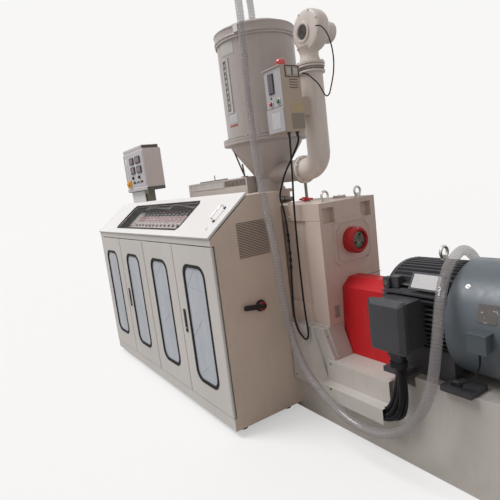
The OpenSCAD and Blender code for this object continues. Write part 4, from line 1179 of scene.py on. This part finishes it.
def gearbox_details():
    """Seam, cap, valve, bolts and the cooled bearing's disc on the gearbox."""
    group = Group("gearbox")
    side = front(-217)
    add_box(group["dark_parts_and_painted_opening_shade"], side, (-290, 302), (1159.4, 1160.6), (-0.6, 0.3))
    add_box(group["dark_parts_and_painted_opening_shade"], back(217), (-302, 290), (1158.6, 1161.4), (-0.6, 0.4))
    roof = top(1252)
    vent = (92, 150)
    add_lathe(group["casting"], roof, cap(40, 0, 8, 34, 12), 40, *vent)
    add_bolt_circle(group["steel"], roof, vent, 30, 4, 11, 7)
    add_at_each(add_bolt, group["steel"], roof, (-250, 40), (-195, 195), 0, 16)
    add_at_each(add_bolt, group["steel"], side, (-230, -90, 50), (1182,), 0, 14)
    add_at_each(add_bolt, group["dark_steel"], top(641), (-262, -60, 130), (-213,), 0, 7)
    valve = (-33, 0)
    lever = front(-16)
    lever_z = 1268
    add_rod(group["dark_steel"], [(*valve, 1252), (*valve, 1366)], 9, 16)
    add_lathe(group["dark_steel"], roof, cap(20, 0, 8, 14, 12), 24, *valve)
    add_prism(group["red_plastic"], lever, rounded_outline(118, 12, 5, 3), (0, 10), -18, lever_z)
    add_prism(group["red_plastic"], lever, rounded_outline(34, 26, 8, 3), (-4, 12), valve[0], lever_z)
    add_bolt(group["steel"], lever, valve[0], lever_z, 12, 9)
    add_rod(group["dark_steel"], [(-262, -20, 1275), (-150, -20, 1275)], 15, 16)
    add_rod(group["dark_steel"], [(-262, -20, 1275), (-211.6, -20, 1275)], 23, 8)
    cooled_bearing(group)
    add_bolt(group["casting"], right(278), -150, 625, 0, 14)
    group.finish()


def guard_details():
    """Slot and open end of the coupling guard, both dark plates of painted shade, with a red rim round the
    end.
    """
    group = Group("guard")
    add_box(group["dark_parts_and_painted_opening_shade"], top(824), (372, 378), (30, 142), (-0.6, 0.5))
    end = right(638)
    hollow = [(-108, 430), (108, 430), (90, 774), (34, 814), (-34, 814), (-90, 774)]
    rim = [(-122, 408), (122, 408), (100, 778), (42, 824), (-42, 824), (-100, 778)]
    add_prism(group["dark_parts_and_painted_opening_shade"], end, hollow, (-0.6, 0.6))
    add_frame(group["red"], end, rim, hollow, (0, 2.5))
    group.finish(30)


# Motor

MOTOR_Z = 718
COWL_RADIUS = 250


def cowl_wall(angle):
    """Face that touches the cowl along its length; 0 is the top and -90 faces -Y."""
    side = Vector((0, math.sin(math.radians(angle)), math.cos(math.radians(angle))))
    return Plane(Vector((0, 0, MOTOR_Z)) + side * COWL_RADIUS, (1, 0, 0), side.cross(Vector((1, 0, 0))))


def motor_frame_details(group):
    """Blank rating plate, ledges, lug, feet bolts and end-shield bolts of the motor."""
    plate = Plane((920, -213, 898), (1, 0, 0), (0, 0.55, 0.83))
    add_panel(group["label"], plate, (-66, 66), (-32, 32), (0, 2), 0.6)
    group.boxes(plate, *[("pale", (-56, 56), (v, v + 5), (1.8, 2.3)) for v in (-14, -2, 10)],
                ("motor", (-78, 78), (-40, 40), (-14, 0)))
    add_at_each(add_screw, group["steel"], plate, (-62, 62), (-27, 27), 2, 2.5)
    for z in (838, 818):
        add_box(group["motor"], front(-222), (704, 1010), (z, z + 7), (-40, 22))
    add_box(group["motor"], front(-190), (722, 762), (850, 900), (-30, 8))
    lug = (706, 872)
    add_prism(group["motor"], front(-200), rounded_outline(34, 56, 14, 5), (-6, 14), *lug)
    eye = [(0, 0), (11, 0), (11, 3), (6, 3), (6, 1), (0, 1)]
    add_lathe(group["dark_steel"], front(-214), eye, 24, *lug)
    feet = top(480)
    for x in (760, 1041):
        for y in (-227, 227):
            add_lathe(group["black"], feet, disc(20, 0, 2), 28, x, y)
            add_bolt(group["dark_steel"], feet, x, y, 2, 22)
    add_bolt_circle(group["dark_steel"], left(642), (0, MOTOR_Z), 206, 8, -33, 13)


def cowl_details(group):
    """Screws, worn plate and terminal box of the fan cowl."""
    screw_x = 1086
    for angle in (-46, 46):
        add_lathe(group["steel"], cowl_wall(angle), disc(9, 0, 1.6), 24, screw_x)
        add_bolt(group["steel"], cowl_wall(angle), screw_x, 0, 1.6, 8)
    add_panel(group["scratched"], cowl_wall(-69), (1150, 1226), (-34, 38), (-1.5, 1.0), 0.5)
    face = front(-290)
    box = bmesh.new()
    add_box(box, face, (1142, 1210), (672, 740), (-50, 0))
    add_panel(box, face, (1138, 1214), (668, 742), (-2, 10), 2)
    add_box(box, top(740), (1136, 1215), (-301, -238), (0, 6))
    finish_piece("fan_box", box, "cowl_dark", bevel=1.2 * MM, stands_for="fan_terminal_box")
    add_lathe(group["black"], top(672), cap(9, 0, -10, 6, -14), 16, 1172, -270)
    lead = metres([(1172, -270, 662), (1170, -268, 620), (1152, -264, 570), (1112, -260, 526),
                   (1070, -256, 500), (1030, -246, 486)])
    add_tube(group["cable"], smooth_route(lead, 8), 4.5 * MM, 8)
    add_box(group["black"], top(950), (1078, 1121), (-18, 18), (-4, 15))


def motor_details():
    """Small parts of the motor and of its fan cowl."""
    group = Group("motor")
    motor_frame_details(group)
    cowl_details(group)
    group.finish()


# Routes of the four cables from the motor's terminal box into the cable duct
CONDUITS = [
    [(800, -300, 574), (812, -300, 520), (816, -304, 440), (806, -308, 370), (776, -312, 300),
     (735, -314, 262), (665, -314, 250)],
    [(818, -314, 574), (828, -314, 520), (833, -314, 440), (826, -314, 360), (800, -315, 290),
     (750, -316, 248), (665, -316, 234)],
    [(824, -294, 574), (833, -294, 520), (834, -294, 445), (832, -293, 360), (812, -293, 285),
     (760, -293, 246), (665, -293, 233)],
    [(802, -296, 574), (807, -296, 520), (801, -296, 455), (784, -297, 390), (766, -300, 335),
     (738, -304, 292), (702, -306, 272), (665, -306, 266)],
]


def motor_box():
    """Terminal box with a lid, lid screws and a cable block, and the motor's cables."""
    face = front(-350)
    case = bmesh.new()
    add_box(case, face, (748, 906), (621, 829), (-160, 1))
    add_lid(case, face, (732, 922), (612, 845), (4, 42), 20, 10)
    add_box(case, front(-334), (786, 854), (576, 622), (-60, 0))
    finish_piece("terminal_case", case, "motor", smooth=20.0, bevel=1.2 * MM, stands_for="terminal_box")
    sheath = bmesh.new()
    for route in CONDUITS:
        add_tube(sheath, smooth_route(metres(route), 8), 12.5 * MM, 14)
    finish_piece("motor_conduits", sheath, "cable", stands_for="motor_cables")
    group = Group("motor_box")
    add_box(group["rubber"], face, (745, 909), (618, 832), (0.5, 4.5))
    for x in (744, 910):
        for z in (626, 831):
            add_lathe(group["dark_steel"], face, cap(6, 14, 24, 4.6, 25), 16, x, z)
    add_prism(group["rubber"], top(520), rounded_outline(70, 56, 18, 6), (0, 30), 820, -305)
    add_prism(group["black"], top(550), rounded_outline(64, 50, 16, 6), (0, 26), 818, -305)
    group.finish()


def base_details():
    """Hole in the cable duct, drawn as a dark disc of painted shade, and screws of the base's side cover."""
    group = Group("base")
    add_lathe(group["dark_parts_and_painted_opening_shade"], front(-334), disc(7, 0.2, 0.8), 20, 387, 282)
    add_at_each(add_screw, group["dark_steel"], front(-275), (30, 340), (240, 390, 545), -0.3, 5)
    group.finish()


# Studio: floor, backdrop and light, set so that a colour on a face turned up renders about as written

BACKDROP = (0.939, 0.930, 0.922)
WORLD_LIGHT = 0.42
WORLD_COLOR = (1.0, 0.92, 0.87)
SUN_POWER = 2.1
SUN_COLOR = (0.985, 0.99, 1.0)
SUN_FROM = (-0.31, -0.44, 0.84)
SUN_SPREAD = 28
# Share of plain white in what the camera sees of the floor
FLOOR_WHITE = 0.45
FLOOR_SIZE = (-40000, 40000)


def make_floor():
    """Pale floor that the camera sees close to white, with the object's shadow on it."""
    look = Shader("floor_paint", Roughness=0.8)
    shades = look.ramp(look.noise(1.3, 5.0), (0.3, 0.885), (0.7, 0.90))
    camera_ray = (look.add("LightPath"), "Is Camera Ray")
    look.set(Base_Color=look.mix(camera_ray, (0.42, 0.41, 0.40), shades))
    white = (look.add("Emission"), "Emission")
    share = look.times(camera_ray, FLOOR_WHITE)
    both = look.add("MixShader", {0: share, 1: (look.principled, "BSDF"), 2: white})
    look.feed(look.output.inputs["Surface"], (both, "Shader"))
    bm = bmesh.new()
    add_box(bm, top(0), FLOOR_SIZE, FLOOR_SIZE, (-40, -1))
    make_object("floor", bm, look.material)


def make_world():
    """Even light all round; camera, mirror and glass rays see a plain pale backdrop."""
    world = bpy.data.worlds.new("studio")
    bpy.context.scene.world = world
    tree = Tree(world)
    path = tree.add("LightPath")
    either = tree.add("Math", {0: (path, "Is Camera Ray"), 1: (path, "Is Glossy Ray")}, operation="MAXIMUM")
    every = tree.add("Math", {0: (either, 0), 1: (path, "Is Transmission Ray")}, operation="MAXIMUM")
    light = tree.add("Background", {"Color": WORLD_COLOR, "Strength": WORLD_LIGHT})
    seen = tree.add("Background", {"Color": BACKDROP, "Strength": 1.0})
    pick = tree.add("MixShader", {0: (every, 0), 1: (light, 0), 2: (seen, 0)})
    tree.add("OutputWorld", {"Surface": (pick, 0)})


def make_lights():
    data = bpy.data.lights.new("sky_window", "SUN")
    data.energy = SUN_POWER
    data.color = SUN_COLOR
    data.angle = math.radians(SUN_SPREAD)
    lamp = new_object("sky_window", data)
    lamp.rotation_euler = Vector(SUN_FROM).to_track_quat("Z", "Y").to_euler()


# Cords

# The hose, the radius of its wall, and the spiral rib round it
HOSE_WALL = 0.0224
RIB_PLACE = 0.0222
RIB_PITCH = 0.016
RIB_RADIUS = 0.0009
HOSE_POINTS = metres([
    (-384, 0, 2440), (-384, 0, 2510), (-324, -61, 2650), (-245, -142, 2700), (-166, -224, 2650),
    (-107, -285, 2510), (-105, -286, 2250), (-100, -302, 1880), (-58, -328, 1660), (16, -370, 1450),
    (96, -406, 1210), (156, -424, 1030), (192, -430, 750), (232, -430, 550), (303, -430, 417),
    (395, -425, 320), (529, -420, 245), (665, -415, 214), (802, -410, 235), (910, -400, 302),
    (984, -385, 404), (1026, -370, 523), (1042, -345, 686), (1034, -290, 856), (1000, -190, 944),
    (978, -90, 986), (954, 20, 996), (926, 140, 944), (908, 240, 840), (902, 306, 690),
    (900, 340, 480), (896, 352, 330), (866, 376, 196), (796, 412, 92), (694, 448, 42),
    (570, 472, 32), (470, 472, 32),
])
# The dryer's lead, and the rubber wraps on its rising side
CABLE_DIAMETER = 0.011
WRAP_HEIGHTS = (1.075, 1.040, 0.985, 0.930, 0.885)
WRAP_HALF = Vector((0, 0, 0.010))
WRAP_RADIUS = 0.0085
CABLE_POINTS = metres([
    (152, -238, 1648), (152, -238, 1590), (150, -245, 1420), (138, -247, 1256), (135, -250, 1060),
    (139, -254, 900), (150, -262, 745), (172, -276, 634), (192, -287, 566), (191, -289, 519),
    (174, -290, 496), (146, -290, 503), (104, -288, 538), (72, -278, 598), (55, -266, 672),
    (51, -257, 760), (58, -250, 940), (57, -248, 1085), (46, -246, 1200), (24, -243, 1270),
    (16, -240, 1321), (52, -222, 1425), (112, -204, 1514), (166, -192, 1596), (166, -192, 1648),
])
BLOWER_LEAD_DIAMETER = 0.007
BLOWER_LEAD_POINTS = metres([
    (188, -133, 1950), (200, -128, 1946), (216, -118, 1934), (236, -112, 1914), (262, -108, 1888),
    (284, -106, 1860), (300, -106, 1833), (314, -106, 1811), (331, -106, 1799), (348, -105, 1809),
    (359, -104, 1831), (370, -102, 1860), (382, -100, 1896), (390, -98, 1945), (388, -96, 1998),
    (376, -92, 2048), (352, -84, 2096), (318, -74, 2138), (280, -62, 2166), (240, -52, 2180),
])


def route_length(points):
    return sum((b - a).length for a, b in zip(points, points[1:]))


def helix(points, radius, pitch, per_turn):
    """Points of a spiral round a route."""
    total = route_length(points)
    frames = route_frames(points)
    count = int(total / pitch * per_turn)
    lengths = [0.0]
    for a, b in zip(points, points[1:]):
        lengths.append(lengths[-1] + (b - a).length)
    out = []
    segment = 0
    for i in range(count + 1):
        place = total * i / count
        while segment < len(points) - 2 and lengths[segment + 1] < place:
            segment += 1
        t = (place - lengths[segment]) / (lengths[segment + 1] - lengths[segment])
        middle = points[segment].lerp(points[segment + 1], t)
        side, other = (a.lerp(b, t).normalized() for a, b in zip(frames[segment], frames[segment + 1]))
        angle = 2 * math.pi * place / pitch
        out.append(middle + radius * (math.cos(angle) * side + math.sin(angle) * other))
    return out


def cord_tube(name, route, radius, sides, key, node=None):
    bm = bmesh.new()
    add_tube(bm, route, radius, sides)
    return finish_piece(name, bm, key, stands_for=node)


def make_hose():
    route = smooth_route(HOSE_POINTS, 5)
    hose = cord_tube("hose_tube", route, HOSE_WALL, 18, "hose", "feed_hose")
    spiral = cord_tube("hose_spiral", helix(route, RIB_PLACE, RIB_PITCH, 10), RIB_RADIUS, 4, "wire")
    HOSE_POINTS[0]
    round(route_length(route), 3)
    NODES["hose_nozzle"]


def make_dryer_lead():
    route = smooth_route(CABLE_POINTS, 4)
    cable = cord_tube("dryer_lead", route, CABLE_DIAMETER / 2, 10, "cable", "dryer_cable")
    rising = route[len(route) // 2:]
    bm = bmesh.new()
    for height in WRAP_HEIGHTS:
        spot = min(rising, key=lambda point: abs(point.z - height))
        add_tube(bm, [spot - WRAP_HALF, spot + WRAP_HALF], WRAP_RADIUS, 12)
    wraps = finish_piece("lead_wraps", bm, "rubber", bevel=1 * MM, slot="cable_black")
    CABLE_POINTS[0]
    round(route_length(route), 3)


def make_blower_lead():
    route = smooth_route(BLOWER_LEAD_POINTS, 5)
    lead = cord_tube("blower_lead", route, BLOWER_LEAD_DIAMETER / 2, 8, "cable")
    BLOWER_LEAD_POINTS[0]
    round(route_length(route), 3)


make_camera()
make_hose()
make_dryer_lead()
make_blower_lead()
make_floor()
make_world()
make_lights()
paint_nodes()
for node_name, edge_width in EDGES.items():
    round_node(node_name, edge_width)
desk_details()
instruments()
door_hardware(2)
door_hardware(4)
film_folds(3)
film_folds(4)
cabinet_end()
operator_box()
hood_details()
hopper_details()
dryer_box_details()
pipe_details()
blower()
gearbox_details()
guard_details()
motor_details()
motor_box()
base_details()
bpy.context.scene.view_settings.view_transform = "Standard"
